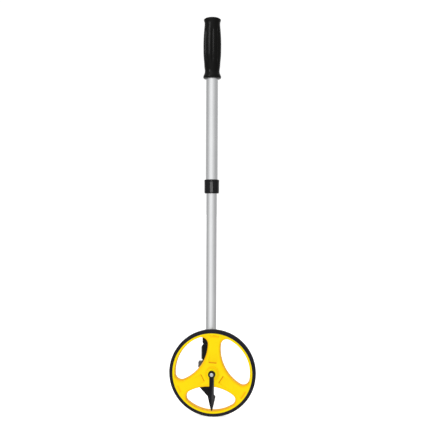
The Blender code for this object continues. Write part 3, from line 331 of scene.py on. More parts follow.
def clear_window():
    """Clear polycarbonate, moulded and polished: sharp reflections, faint ripples from moulding."""
    made, tree = new_finish("clear_polycarbonate")
    place = add(tree, "ShaderNodeTexCoord").outputs["Object"]
    ripple = add(tree, "ShaderNodeTexNoise", Vector=place, Scale=1 / (6.0 * MM), Detail=1.0)
    bump = add(tree, "ShaderNodeBump", Height=ripple.outputs["Fac"], Distance=0.004 * MM,
               Strength=1.0)
    gloss = add(tree, "ShaderNodeMapRange", Value=ripple.outputs["Fac"], n1=0.3, n2=0.7, n3=0.02,
                n4=0.06)
    shader = add(tree, "ShaderNodeBsdfPrincipled", Base_Color=linear("#F4F7F8"), IOR=1.58,
                 Roughness=gloss.outputs["Result"], Transmission_Weight=1.0,
                 Normal=bump.outputs["Normal"])
    close_finish(tree, shader)
    return made


YELLOW_ABS = yellow_abs()
# Tyre rubber, moulded and matt: near black with a blue cast on the side walls.
TYRE_SIDE = moulded(
    "tyre_rubber_side", ("#18171F", "#201F28"), 0.5, 0.8, 0.02, 12.0, IOR=1.52,
    Specular_IOR_Level=0.1,
)
# The same rubber on the tread, duller, and painted a lighter grey: painted light for the light the
# crown catches from above.
TYRE_TREAD_PAINTED_LIGHT = moulded(
    "tyre_rubber_tread_painted_light", ("#3A3A3F", "#47474B"), 0.7, 0.7, 0.06, 8.0, IOR=1.52,
    Specular_IOR_Level=0.2,
)
# Grip rubber, moulded with a soft gloss: black with clear long highlights.
GRIP_RUBBER = moulded(
    "grip_rubber_glossy", ("#070706", "#0B0B0A"), 0.26, 1.2, 0.01, 20.0, IOR=1.5,
    Specular_IOR_Level=0.1,
)
# Black ABS of the housing: a fine spark grain that breaks up the gloss.
HOUSING_BLACK = moulded(
    "black_abs_grained", ("#0A0A0C", "#111113"), 0.42, 0.9, 0.02, 18.0, IOR=1.53,
    Specular_IOR_Level=0.1,
)
# Black nylon of the collar: smoother, with a grey sheen along its flats.
COLLAR_BLACK = moulded(
    "black_nylon_collar", ("#08080A", "#0D0D0F"), 0.3, 1.0, 0.01, 10.0, IOR=1.53,
    Specular_IOR_Level=0.16,
)
# Black acetal of the pointer: hard and slightly glossy, so that its facets read apart.
POINTER_BLACK = moulded(
    "black_acetal_pointer", ("#08080C", "#0E0E13"), 0.33, 0.8, 0.01, 9.0, IOR=1.48,
    Specular_IOR_Level=0.12,
)
# Dark grey ABS of the display's frame: a matt grain, plainly lighter than the black housing.
FRAME_GREY = moulded(
    "grey_abs_matt", ("#606164", "#6A6B6E"), 0.5, 0.8, 0.03, 12.0, IOR=1.53,
    Specular_IOR_Level=0.2,
)
# Mid grey acetal of the reset tab: a satin grain, worn paler than the frame.
TAB_GREY = moulded(
    "grey_acetal_satin", ("#626065", "#6E6C71"), 0.42, 0.8, 0.02, 6.0, IOR=1.48,
    Specular_IOR_Level=0.3,
)
# White acetal of the gears, drums and bushes: waxy, faintly cream.
WHITE_ACETAL = moulded("white_acetal_waxy", ("#E4E3DC", "#F0EFE9"), 0.38, 0.7, 0.006, 9.0, IOR=1.48)
# Printing ink of the drum numerals: dense black with a low sheen.
NUMERAL_INK = moulded("black_numeral_ink", ("#0C0C0D", "#161617"), 0.5, 0.4, 0.004, 3.0)
# Aluminium tube, drawn and satin anodised: soft long lines that spread the light round the tube.
TUBE_SATIN = metal(
    "anodised_aluminium_drawn", ("#D6D7D8", "#DBDCDD"), 0.3, 0.7, 0.002, (1.0, 1.0, 0.02),
)
# Zinc-plated steel of the screws, nut and axle: bright, faintly blue, with turning marks.
ZINC_STEEL = metal("zinc_plated_steel", ("#C6CACE", "#D8DADB"), 0.24, 0.5, 0.004)
# Spring wire, drawn and oiled: darker, with lines too fine to see drawn coarse.
SPRING_WIRE = metal("spring_wire_drawn", ("#6E6F72", "#85868A"), 0.3, 0.3, 0.003, (1.0, 0.3, 1.0))
# Clear polycarbonate of the window over the drums.
CLEAR_WINDOW = clear_window()


# Road wheel

RIM_RADIUS = 73.1775
LIP_RADIUS = RIM_RADIUS - 3.4
LIP_FACE = 6.35
WEB_FACE = 5.75
WHEEL_TURN = math.radians(3.5)
THIRD = TURN / 3
WINDOW_OUTER = LIP_RADIUS - 0.6
LIP_EDGE = 0.45
SPOKE_EDGE = 3.0
# Painted shade on the rounds of the window edges and on the hub's steps.
EDGE_PAINTED_SHADE = 0.35
STEP_PAINTED_SHADE = 0.45
WALL_DRAFT = 1.0
FAR_CENTRE = 99.0
NEAR_ARC = 74.5
CORNER_ARC = 12.0
BOSS_RADIUS = 13.0
POCKET_HALF = 7.75
POCKET_START = 18.5
POCKET_END = 42.5
POCKET_DEPTH = 1.6
POCKET_DRAFT = 0.5
POCKET_END_DRAFT = 2.0
# How far along a window's edge, past the corner's start and end, the border's bends are met.
LIP_END_RUN = 13.7
BOSS_END_RUN = 38.4
RIM_GROOVE_DEPTH = 1.2
RIM_GROOVE_HALF = 2.8
BOSS_FACE = 6.95
HUB_RADIUS = 10.0
HUB_FACE = 9.15
HUB_BACK = 7.95
HUB_BORE = 4.8
BUSH_RADIUS = 6.8
BUSH_FLOOR = 3.95
CORNER_V = (FAR_CENTRE**2 + (WINDOW_OUTER - CORNER_ARC) ** 2 - (NEAR_ARC - CORNER_ARC) ** 2) / (
    2 * FAR_CENTRE)
CORNER_U = math.sqrt((WINDOW_OUTER - CORNER_ARC) ** 2 - CORNER_V**2)
OUTER_ANGLE = math.atan2(CORNER_V, CORNER_U)
INNER_ANGLE = math.atan2(CORNER_V - FAR_CENTRE, CORNER_U)


def window_edge(run, offset):
    """Half of a window's edge moved out by offset, as u and v: an arc round the axle, one round
    the corner's centre and one round the far centre follow each other as run grows from zero."""
    centre_u = np.array([0, CORNER_U, 0])
    centre_v = np.array([0, CORNER_V, FAR_CENTRE])
    radius = np.array([WINDOW_OUTER, CORNER_ARC, NEAR_ARC])
    first = np.array([math.pi / 2, OUTER_ANGLE, INNER_ANGLE])
    last = np.array([OUTER_ANGLE, INNER_ANGLE, -math.pi / 2])
    ends = np.cumsum(radius * (first - last))
    begins = np.concatenate([[0], ends[:-1]])
    part = np.clip(np.searchsorted(ends, run), 0, 2)
    angle = first[part] - (run - begins[part]) / radius[part]
    reach = radius[part] + offset
    return centre_u[part] + reach * np.cos(angle), centre_v[part] + reach * np.sin(angle)


def half_sector():
    """Half of the border round a window, as u, v and the run along the window's edge that each
    point belongs to: the lip's arc, the side of a spoke's pocket and the boss's arc."""
    lip_end = math.radians(30) + math.asin(POCKET_HALF / LIP_RADIUS)
    boss_end = math.radians(30) + math.asin(POCKET_HALF / BOSS_RADIUS)
    corner_run = WINDOW_OUTER * (math.pi / 2 - OUTER_ANGLE)
    near_run = corner_run + CORNER_ARC * (OUTER_ANGLE - INNER_ANGLE)
    end_run = near_run + NEAR_ARC * (INNER_ANGLE + math.pi / 2)
    lip = np.linspace(math.pi / 2, lip_end, 49)
    lip_run = np.interp(
        -lip, [-math.pi / 2, -OUTER_ANGLE, -lip_end], [0, corner_run, corner_run + LIP_END_RUN],
    )
    along = spoke_steps()[::-1]
    side_u = along * math.cos(math.radians(30)) - POCKET_HALF * math.sin(math.radians(30))
    side_v = along * math.sin(math.radians(30)) + POCKET_HALF * math.cos(math.radians(30))
    side_run = np.interp(-along, [-along[0], -along[-1]], [lip_run[-1], near_run + BOSS_END_RUN])
    boss = np.linspace(boss_end, math.pi / 2, 7)
    boss_run = np.linspace(side_run[-1], end_run, 7)
    u = np.concatenate([LIP_RADIUS * np.cos(lip), side_u[1:], BOSS_RADIUS * np.cos(boss[1:])])
    v = np.concatenate([LIP_RADIUS * np.sin(lip), side_v[1:], BOSS_RADIUS * np.sin(boss[1:])])
    return u, v, np.concatenate([lip_run, side_run[1:], boss_run[1:]])


def spoke_steps():
    """Distances from the axle along the side of a pocket, from the boss to the lip."""
    start = math.sqrt(BOSS_RADIUS**2 - POCKET_HALF**2)
    end = math.sqrt(LIP_RADIUS**2 - POCKET_HALF**2)
    return np.concatenate([
        np.linspace(start, POCKET_START, 7),
        np.linspace(POCKET_START, POCKET_END, 17)[1:],
        np.linspace(POCKET_END, end, 15)[1:],
    ])


def whole(u, v):
    """A half line with its mirror image, from the top round and back to it."""
    return np.concatenate([u, -u[-2::-1]]), np.concatenate([v, v[-2::-1]])


def edge_width(run):
    """How wide the edge round is along a window: narrow beside the lip, where there is no room,
    and growing over the corner to its full width beside the spokes."""
    corner = WINDOW_OUTER * (math.pi / 2 - OUTER_ANGLE)
    share = np.clip((run - corner + 2.0) / 10.0, 0, 1)
    return LIP_EDGE + (SPOKE_EDGE - LIP_EDGE) * share * share * (3 - 2 * share)


def window_grids(turn):
    """Round one window: two flat webs between its edge and the border, and the wall between them,
    a profile with two quarter ellipses carried along the edge. The wall's draft makes the window
    smaller at the back. Painted shade grows over the edge's round to its full depth on the wall."""
    u, v, run = half_sector()
    border_u, border_v = whole(u, v)
    share = np.linspace(0, 1, 6)[:, None]
    angles = np.linspace(0, math.pi / 2, 7)
    width = edge_width(run)
    drop = np.minimum(width, 1.4)
    full_drop = np.concatenate([drop, drop[-2::-1]])
    faces, wall, shade_mark = [], [], []
    for side, draft, turns in ((-1, 0, angles), (1, WALL_DRAFT, angles[::-1])):
        edge_u, edge_v = whole(*window_edge(run, width - draft))
        web_u = edge_u + (border_u - edge_u) * share
        web_v = edge_v + (border_v - edge_v) * share
        faces.append(clockwise(web_u, web_v, side * WEB_FACE, turn))
        for angle in turns:
            wall_u, wall_v = whole(*window_edge(run, width * (1 - math.sin(angle)) - draft))
            depth = side * (WEB_FACE - full_drop * (1 - math.cos(angle)))
            wall.append(clockwise(wall_u, wall_v, depth, turn))
            shade_mark.append(np.full(len(wall_u), EDGE_PAINTED_SHADE + (1 - EDGE_PAINTED_SHADE) * math.sin(angle) ** 2))
    # Painted shade on the webs, fading out a little way from the window's edge.
    flat = np.broadcast_to(EDGE_PAINTED_SHADE * np.clip(1 - 2.5 * share, 0, 1), faces[0].shape[:2])
    return [*faces, np.stack(wall)], [flat, flat, np.stack(shade_mark)]


def shaded_wall_strip(top, bottom, mark):
    """The wall between two lines, with a row just inside each of them: those two rows and what
    lies between get painted shade."""
    shares = np.array([0, 0.1, 0.9, 1])[:, None, None]
    shade_mark = mark * np.repeat([[0.0], [1.0], [1.0], [0.0]], len(top), 1)
    return top + (bottom - top) * shares, shade_mark


def spoke_grids(turn):
    """The middle of one spoke: across is u, and rows run from the boss's arc to the lip's arc. In
    front a pocket starts deep and runs out toward the rim."""
    across = np.linspace(-POCKET_HALF, POCKET_HALF, 9)
    steps = spoke_steps()
    boss = np.sqrt(BOSS_RADIUS**2 - across**2)
    lip = np.sqrt(LIP_RADIUS**2 - across**2)
    near = steps[:7, None]
    far = steps[22:, None]
    near_share = (POCKET_START - near) / (POCKET_START - steps[0])
    far_share = (far - POCKET_END) / (steps[-1] - POCKET_END)
    inner = POCKET_START + (boss - POCKET_START) * near_share
    outer = POCKET_END + (lip - POCKET_END) * far_share
    pocket = np.broadcast_to(steps[6:23, None], (17, 9))
    u = np.broadcast_to(across, (len(steps), 9))
    back = clockwise(u, np.concatenate([inner, pocket[1:-1], outer]), WEB_FACE, turn)
    sink = POCKET_DEPTH * (POCKET_END - pocket) / (POCKET_END - POCKET_START)
    share = sink / POCKET_DEPTH
    floor_u = u[:17] * (1 - POCKET_DRAFT * share / POCKET_HALF)
    floor = clockwise(floor_u, pocket + POCKET_END_DRAFT * share**8, -WEB_FACE + sink, turn)
    flat = clockwise(u[:17], pocket, -WEB_FACE, turn)
    plain = [
        back,
        clockwise(u[:7], inner, -WEB_FACE, turn),
        clockwise(u[:15], outer[-15:], -WEB_FACE, turn),
        floor,
    ]
    # The pocket's sides get a light painted shade, and its end wall a deep painted shadow.
    strips = [
        shaded_wall_strip(flat[:, 0], floor[:, 0], 0.4), shaded_wall_strip(flat[:, -1], floor[:, -1], 0.4),
        shaded_wall_strip(flat[0], floor[0], 2.0),
    ]
    grids = plain + [strip for strip, _ in strips]
    shade_marks = [np.zeros(grid.shape[:2]) for grid in plain] + [shade_mark for _, shade_mark in strips]
    # Painted shade on the spoke's face: near the boss, in a dark line where the spoke meets the lip,
    # and on the pocket's floor growing with its depth.
    shade_marks[1][:2] = np.array([[0.5], [0.2]])
    shade_marks[2][-3:] = np.array([[0.3], [1.0], [1.5]])
    shade_marks[3][:] = 0.3 * share
    return grids, shade_marks


def border_angles(radius, half_turn, count):
    """The turns at which webs and spokes meet a circle, from +X toward +Z and once round."""
    across = np.arcsin(np.linspace(-POCKET_HALF, POCKET_HALF, 9) / radius)[1:-1]
    window = np.linspace(-half_turn, half_turn, count)
    some = [WHEEL_TURN + THIRD * number + np.concatenate([across, THIRD / 2 + window])
            for number in range(3)]
    turns = np.sort(np.concatenate(some))
    turns = np.concatenate([turns, turns[:1] + TURN])
    return math.pi / 2 - turns


def make_road_wheel():
    """Webs, spokes and window walls closed by two turned parts: the rim with its lips and groove,
    and the hub with its boss, ring and bore."""
    grids, shade_marks = [], []
    for number in range(3):
        turn = WHEEL_TURN + THIRD * number
        for some, marks in (window_grids(turn + THIRD / 2), spoke_grids(turn)):
            grids += some
            shade_marks += marks
    lip_half = math.radians(60) - math.asin(POCKET_HALF / LIP_RADIUS)
    boss_half = math.radians(60) - math.asin(POCKET_HALF / BOSS_RADIUS)
    groove = RIM_RADIUS - RIM_GROOVE_DEPTH
    rim = rounded([
        (LIP_RADIUS, -WEB_FACE, 0), (LIP_RADIUS, -LIP_FACE, 0.2), (RIM_RADIUS, -LIP_FACE, 0.5),
        (RIM_RADIUS, -RIM_GROOVE_HALF, 0), (groove, -RIM_GROOVE_HALF, 0),
        (groove, RIM_GROOVE_HALF, 0), (RIM_RADIUS, RIM_GROOVE_HALF, 0),
        (RIM_RADIUS, LIP_FACE, 0.5), (LIP_RADIUS, LIP_FACE, 0.2), (LIP_RADIUS, WEB_FACE, 0),
    ])
    hub = rounded([
        (BOSS_RADIUS, -WEB_FACE, 0), (BOSS_RADIUS - 0.4, -BOSS_FACE, 0.5),
        (HUB_RADIUS + 0.2, -BOSS_FACE, 0.4), (HUB_RADIUS - 0.1, -HUB_FACE, 1.5),
        (HUB_BORE, -HUB_FACE, 0.2), (HUB_BORE, BUSH_FLOOR, 0), (BUSH_RADIUS, BUSH_FLOOR, 0),
        (BUSH_RADIUS, HUB_BACK, 0.2), (HUB_RADIUS, HUB_BACK, 0.4),
        (HUB_RADIUS + 0.1, WEB_FACE, 0.3), (BOSS_RADIUS, WEB_FACE, 0),
    ])
    for profile, reach, half, count in (
        (rim, LIP_RADIUS, lip_half, 97), (hub, BOSS_RADIUS, boss_half, 13),
    ):
        grids.append(turned(profile, border_angles(reach, half, count)))
        radius, along = profile.T
        # Painted shade round the foot of the boss and of the hub's ring, on the front.
        boss_step = np.abs(radius - BOSS_RADIUS + 0.45) < 0.55
        hub_step = np.abs(radius - HUB_RADIUS - 0.2) < 0.4
        low_part = (along < -WEB_FACE) & (along > 0.85 - HUB_FACE)
        mark = np.where((boss_step | hub_step) & low_part, STEP_PAINTED_SHADE, 0)
        shade_marks.append(np.repeat(mark[:, None], grids[-1].shape[1], 1))
    make_piece(
        "wheel_yellow", [(YELLOW_ABS, grids)], "wheel", ["road_wheel"], 28, shade_marks,
    )


TYRE_CROWN = 79.5775
TYRE_HALF = 6.25
TYRE_SEAT = 73.5
TYRE_SHOULDER = 3.0
KEY_RADIUS = 72.3
KEY_HALF = 2.5
BEAD_RISE = 0.12
TREAD_HALF = 2.9
TREAD_GROOVES = (-2.2, 0.0, 2.2)
TREAD_DEPTH = 0.45


def make_tyre():
    """A closed profile carried round the axle: side walls with a thin bead line, round shoulders,
    and a tread with three grooves."""
    crown, half, shoulder = TYRE_CROWN, TYRE_HALF, TYRE_SHOULDER
    tread = []
    for groove in TREAD_GROOVES:
        tread += [(crown, groove - 0.5, 0.12), (crown - TREAD_DEPTH, groove - 0.3, 0.1),
                  (crown - TREAD_DEPTH, groove + 0.3, 0.1), (crown, groove + 0.5, 0.12)]
    bead = [(TYRE_SEAT, 0), (74.4, 0), (74.6, BEAD_RISE), (75.0, BEAD_RISE), (75.2, 0)]
    side = [(radius, -half - rise, 0) for radius, rise in bead]
    other = [(radius, half + rise, 0) for radius, rise in bead[::-1]]
    low = rounded([*side, (crown, -half, shoulder), (crown, -TREAD_HALF, 0)], steps=10)
    high = rounded([(crown, TREAD_HALF, 0), (crown, half, shoulder), *other], steps=10)
    road = rounded([(crown, -TREAD_HALF, 0), *tread, (crown, TREAD_HALF, 0)], steps=3)
    bore = rounded([
        (TYRE_SEAT, half, 0), (TYRE_SEAT, KEY_HALF, 0), (KEY_RADIUS, KEY_HALF, 0),
        (KEY_RADIUS, -KEY_HALF, 0), (TYRE_SEAT, -KEY_HALF, 0), (TYRE_SEAT, -half, 0),
    ])
    angles = full_turn(288)
    parts = [
        (TYRE_SIDE, [turned(low, angles), turned(high, angles), turned(bore, angles)]),
        (TYRE_TREAD_PAINTED_LIGHT, [turned(road, angles)]),
    ]
    band = make_piece("tyre_band", parts, "wheel", ["tyre"], 30)
    # The bright tube right behind would otherwise mirror the tread as a dark smear.
    band.visible_glossy = False


# Pointer

POINTER_FRONT = -16.05
POINTER_BACK = -11.65


def make_pointer():
    """A ring turned round the axle, and an arrow whose section changes as it goes down: half
    width and edge depth are functions of the distance from the axle, and the front is a roof
    whose ridge stays at full height while its eaves drop toward the head's edges."""
    ring = rounded([
        (6.7, -14.2, 0.5), (6.7, -12.0, 0.35), (6.35, POINTER_BACK, 0.2), (2.4, POINTER_BACK, 0.1),
        (2.4, POINTER_FRONT, 0.3), (5.2, POINTER_FRONT, 0.8), (6.7, -14.9, 0.6),
    ], closed=True, steps=4)
    down = np.array([4.2, 4.4, 14.0, 24.0, 35.8, 36.0, 37.8, 39.4, 40.8, 54.0, 62.0, 65.6, 66.25])
    half = np.array([3.4, 4.3, 4.3, 4.3, 4.3, 4.4, 5.8, 7.1, 7.1, 4.1, 2.0, 0.95, 0.5])
    eaves = np.array([1.1, 1.1, 1.1, 1.5, 2.0, 2.1, 2.5, 2.9, 2.9, 2.7, 2.3, 2.2, 2.2])
    ridge = np.array([2.6, 2.6, 2.6, 1.4, 0.7, 0.7, 0.4, 0.25, 0.2, 0.15, 0.1, 0.05, 0.02])
    front = POINTER_FRONT + 0.12
    deep = np.array([0, 0, 0, 0, 0, 0, 0, 0, 0, 0.1, 0.9, 1.9, 2.2])
    base = POINTER_BACK - 0.02
    section = [
        (half, front + eaves + deep * 0.3), (ridge, front + deep), (-ridge, front + deep),
        (-half, front + eaves + deep * 0.3), (-half, base - 0.7 + 0 * half),
        (-half * 0.86, base + 0 * half), (half * 0.86, base + 0 * half),
        (half, base - 0.7 + 0 * half), (half, front + eaves + deep * 0.3),
    ]
    arrow = np.stack([np.stack([u, np.minimum(y, base), -down], -1) for u, y in section], 1)
    ends = [np.broadcast_to(arrow[row].mean(0), arrow[row].shape)[None] for row in (0, -1)]
    arrow = np.concatenate([ends[0], arrow, ends[1]])
    made = make_piece(
        "plumb_arrow", [(POINTER_BLACK, [turned(ring, full_turn(64)), arrow])], "plumb_pointer",
        ["pointer"], 18,
    )
    # It hangs so close to the spoke that it would dim a wide halo of yellow beside it.
    made.visible_diffuse = False
    return made


def cross_recess(across, up, arm, width, depth):
    """How far a cross recess sinks at a place: deep where either coordinate is within the width,
    with soft flanks, and nothing past the arm's end."""
    small = np.minimum(np.abs(across), np.abs(up))
    large = np.maximum(np.abs(across), np.abs(up))
    flank = np.clip((width - small) / (0.35 * width), 0, 1)
    end = np.clip((arm - large) / (0.3 * arm), 0, 1)
    return depth * flank * end


def screw_grid(radius, height, face, shank, end, outward, recess):
    """A domed head with a cross recess on a plain shank. The dome is part of a circle in section,
    and the recess is taken off it point by point."""
    angles = full_turn(64)
    reach = np.linspace(0, 1, 22)
    dome = np.stack([radius * np.sin(reach * math.pi / 2), np.cos(reach * math.pi / 2)], 1)
    grid = turned(dome, angles)
    sink = cross_recess(grid[..., 0], grid[..., 2], *recess)
    grid[..., 1] = face - outward * (height * (1 - grid[..., 1]) + sink)
    neck = rounded([
        (radius, face - outward * height, 0), (shank, face - outward * height, 0),
        (shank, end, 0), (0, end, 0),
    ])
    return [grid, turned(neck, angles)]


def make_screws():
    """Each screw is its own piece, on the CAD screw's axis."""
    head = screw_grid(radius=3.6, height=1.6, face=-17.95, shank=1.1, end=-8.05, outward=-1,
                      recess=(2.0, 0.42, 0.7))
    make_piece("pointer_screw_domed", [(ZINC_STEEL, head)], "frame",
               ["pointer_screw"])
    nodes = [f"shell_screw_{number}" for number in range(1, 5)] + ["tube_screw"]
    for node in nodes:
        low, high = (np.array(corner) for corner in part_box(node))
        spot = ((low + high) / 2 - AXLE) / MM
        start = (low[1] - AXLE[1]) / MM
        back = (high[1] - AXLE[1]) / MM
        shank = 1.5 if node == "tube_screw" else 1.2
        grids = screw_grid(radius=2.5, height=1.4, face=back, shank=shank, end=start, outward=1,
                           recess=(1.7, 0.36, 0.9))
        grids = [grid + np.array([spot[0], 0, spot[2]]) for grid in grids]
        make_piece(node + "_recessed", [(ZINC_STEEL, grids)], "frame", [node])


def make_nut():
    """A hexagon trimmed by a cone: at each turn the radius is the smaller of the hexagon's and the
    cone's."""
    angles = full_turn(96)
    hexagon = 4.5 / np.cos((angles + math.pi / 6) % (math.pi / 3) - math.pi / 6)
    back, front = 43.15, 39.95
    rows = []
    for cone, along in ((4.4, back), (5.3, back - 0.55), (5.3, front + 0.55), (4.4, front)):
        radius = np.minimum(hexagon, cone)
        rows.append(np.stack([radius * np.cos(angles), np.full_like(angles, along),
                              radius * np.sin(angles)], -1))
    bore = turned([(3.3, front), (3.3, back)], angles)
    grid = np.concatenate([bore[1:], np.stack(rows), bore])
    make_piece("axle_nut_chamfered", [(ZINC_STEEL, [grid])], "frame", ["axle_nut"], 20)


# Tubes, collar and grip, which stand on one upright axis

TUBE_X = -5.25
TUBE_Y = 26.2
TUBE_AXIS = (TUBE_X, TUBE_Y)


def make_tubes():
    """Two drawn tubes: a rectangle with small rounds at its ends, carried round the axis. A row
    close to each round keeps the long faces shaded straight."""
    for name, node, outer, inner, body in (
        ("lower_tube_drawn", "lower_tube", 9.9, 9.0, "frame"),
        ("upper_tube_drawn", "upper_tube", 11.1, 10.2, "handle"),
    ):
        foot, top = span(node)
        wall = rounded([
            (outer, foot, 0.25), (outer, foot + 0.6, 0), (outer, top - 0.6, 0), (outer, top, 0.25),
            (inner, top, 0.2), (inner, top - 0.6, 0), (inner, foot + 0.6, 0), (inner, foot, 0.2),
        ], closed=True, steps=4)
        grid = turned(wall, full_turn(96), True, TUBE_AXIS)
        make_piece(name, [(TUBE_SATIN, [grid])], body, [node])


COLLAR_BORE = 11.4
COLLAR_SEAT = 12.5
COLLAR_FOOT_BORE = 10.2
COLLAR_WAIST = 13.75
COLLAR_RIM = 13.95
COLLAR_FLATS = 16
COLLAR_TURN = math.radians(3)


def make_collar():
    """A turned sleeve whose body carries sixteen flats with soft corners: at each turn the radius
    drops as a regular polygon's side does, and the drop fades toward the sleeve's ends."""
    foot, top = span("lock_collar")
    seat = span("upper_tube")[0]
    lip = foot + 1.6
    profile = rounded([
        (COLLAR_FOOT_BORE, foot, 0), (11.4, foot, 0.3), (13.45, foot + 0.2, 2.0),
        (COLLAR_WAIST, foot + 3.2, 0), (COLLAR_WAIST, top - 3.4, 0), (COLLAR_RIM, top - 3.0, 0.3),
        (COLLAR_RIM, top - 0.2, 2.2), (11.8, top, 0.3), (COLLAR_BORE, top, 0.2),
        (COLLAR_BORE, seat, 0), (COLLAR_SEAT, seat, 0), (COLLAR_SEAT, lip, 0),
        (COLLAR_FOOT_BORE, lip, 0), (COLLAR_FOOT_BORE, foot, 0),
    ], steps=8)
    lengths = np.concatenate([[0], np.cumsum(np.hypot(*np.diff(profile, axis=0).T))])
    at = np.unique(np.concatenate([lengths, np.linspace(0, lengths[-1], 140)]))
    fine = np.stack([np.interp(at, lengths, profile[:, axis]) for axis in (0, 1)], 1)
    angles = full_turn(256)
    grid = turned(fine, angles, True)
    fade = np.clip(np.minimum(fine[:, 1] - foot - 1.2, top - 3.6 - fine[:, 1]) / 1.4, 0, 1)
    fade = np.where(fine[:, 0] > 12.9, fade * fade * (3 - 2 * fade), 0)
    side = TURN / COLLAR_FLATS
    off = (angles + math.pi / 2 - COLLAR_TURN + side / 2) % side - side / 2
    drop = 1 - math.cos(side / 2) / np.cos(off)
    shrink = 1 - fade[:, None] * drop
    grid[..., :2] = grid[..., :2] * shrink[..., None] + np.array(TUBE_AXIS)
    return make_piece("lock_collar_flats", [(COLLAR_BLACK, [grid])], "collar",
                      ["lock_collar"], 40)


GRIP_WIDEST = 16.9
GRIP_FLUTES = 8
GRIP_FLUTE_TURN = math.radians(6)
GRIP_FLUTE_HALF = math.radians(11)
GRIP_FLUTE_DEPTH = 1.4


def make_grip():
    """A turned grip with eight long flutes: radius is a smooth curve down its length, less a
    flute depth that fades at the flutes' ends and follows a rounded hollow round the turn."""
    foot, top = span("hand_grip")
    cap = span("upper_tube")[1] + 0.3
    length = top - foot
    shape = [
        (0.052, 0.925), (0.075, 0.872), (0.110, 0.862), (0.176, 0.905), (0.290, 0.966),
        (0.435, 1.000), (0.530, 0.997), (0.628, 0.980), (0.725, 0.921), (0.822, 0.860),
        (0.871, 0.815), (0.919, 0.860), (0.945, 0.935), (0.966, 0.990),
    ]
    side = smooth_line(shape, 130)
    side = np.stack([GRIP_WIDEST * side[:, 1], top - length * side[:, 0]], 1)
    turn = np.linspace(0, math.pi / 2, 14)
    dome = np.stack([14.6 * np.sin(turn) ** 0.9, top - 2.6 * (1 - np.cos(turn))], 1)
    rim = rounded([(14.6, top - 2.6, 0), (16.2, top - 3.0, 1.2), tuple(side[0]) + (0,)], steps=6)
    hem = rounded([
        tuple(side[-1]) + (0,), (16.6, foot + 1.6, 1.4), (15.6, foot, 1.2), (11.4, foot, 0.5),
        (11.4, cap, 0), (0, cap, 0),
    ], steps=6)
    profile = np.concatenate([dome[:-1], rim, side[1:-1], hem])
    angles = full_turn(240)
    grid = turned(profile, angles, True)
    along = (top - profile[:, 1]) / length
    fade = np.clip(np.minimum(along - 0.13, 0.80 - along) / 0.14, 0, 1)
    fade = np.where(profile[:, 0] > 13, fade * fade * (3 - 2 * fade), 0)
    step = TURN / GRIP_FLUTES
    off = (angles + math.pi / 2 - GRIP_FLUTE_TURN + step / 2) % step - step / 2
    hollow = np.clip(1 - (off / GRIP_FLUTE_HALF) ** 2, 0, 1) ** 1.5
    shrink = 1 - GRIP_FLUTE_DEPTH * fade[:, None] * hollow / np.maximum(profile[:, :1], 1)
    grid[..., :2] = grid[..., :2] * shrink[..., None] + np.array(TUBE_AXIS)
    return make_piece("grip_fluted", [(GRIP_RUBBER, [grid])], "handle",
                      ["hand_grip"], 50)


# Housing, display and reset lever

def softened(node, name, width, finish):
    """A welded copy of a CAD node whose long outer edges get a round instead of a hard corner."""
    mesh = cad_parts[node].data.copy()
    mesh.name = name
    work = bmesh.new()
    work.from_mesh(mesh)
    bmesh.ops.remove_doubles(work, verts=work.verts, dist=0.000002)
    bmesh.ops.dissolve_limit(
        work, angle_limit=math.radians(1), verts=work.verts, edges=work.edges,
    )
    edges = [
        edge for edge in work.edges
        if edge.is_manifold and edge.calc_length() > 0.0035 and edge.is_convex
        and edge.calc_face_angle() > math.radians(25)
    ]
    bmesh.ops.bevel(work, geom=edges, offset=width * MM, segments=2, profile=0.5, affect="EDGES",
                    clamp_overlap=True)
    work.to_mesh(mesh)
    work.free()
    mesh.materials.clear()
    mesh.materials.append(finish)
    return finish_piece(name, mesh, "frame", [node], 40)


def rectangle(low_a, high_a, low_b, high_b, radius):
    """A closed rectangle with round corners, between two values each way."""
    return rounded([
        (low_a, low_b, radius), (high_a, low_b, radius), (high_a, high_b, radius),
        (low_a, high_b, radius),
    ], closed=True, steps=6)


DISPLAY_WALL = -20.05
DISPLAY_FACE = -21.8
DISPLAY_EDGE = 0.5


def make_display():
    """A frame between two rounded rectangles with soft edges, and a lens with a round edge. The
    loops lie across Y and Z, and their rows step from the wall out to the face and back."""
    inner = rectangle(18.45, 39.45, 24.24, 38.24, 1.0)
    outer = rectangle(9.45, 42.95, 22.24, 45.74, 2.0)
    rows = [
        (inner, DISPLAY_WALL), (inner, DISPLAY_FACE + DISPLAY_EDGE),
        (inset(inner, -DISPLAY_EDGE), DISPLAY_FACE), (inset(outer, DISPLAY_EDGE), DISPLAY_FACE),
        (outer, DISPLAY_FACE + DISPLAY_EDGE), (outer, DISPLAY_WALL), (inner, DISPLAY_WALL),
    ]
    grid = np.stack([np.column_stack([np.full(len(loop), x), loop]) for loop, x in rows])
    make_piece("display_frame", [(FRAME_GREY, [grid])], "frame", ["display_bezel"], 25)
    lens = slab(rectangle(16.95, 40.95, 22.74, 39.74, 0.8), -19.75, -18.25, 0.3, "yz")
    make_piece("display_lens", [(CLEAR_WINDOW, [lens])], "frame", ["display_window"])


LEVER_X = -13.5
LEVER_Z = 9.6
LEVER_FRONT = 20.85
LEVER_BACK = 32.85
PAD_HALF = 5.6
PAD_OUTER = 15.25
PAD_INNER = 8.5
RIDGE_HEIGHT = 0.35
RIDGE_PITCH = 1.6


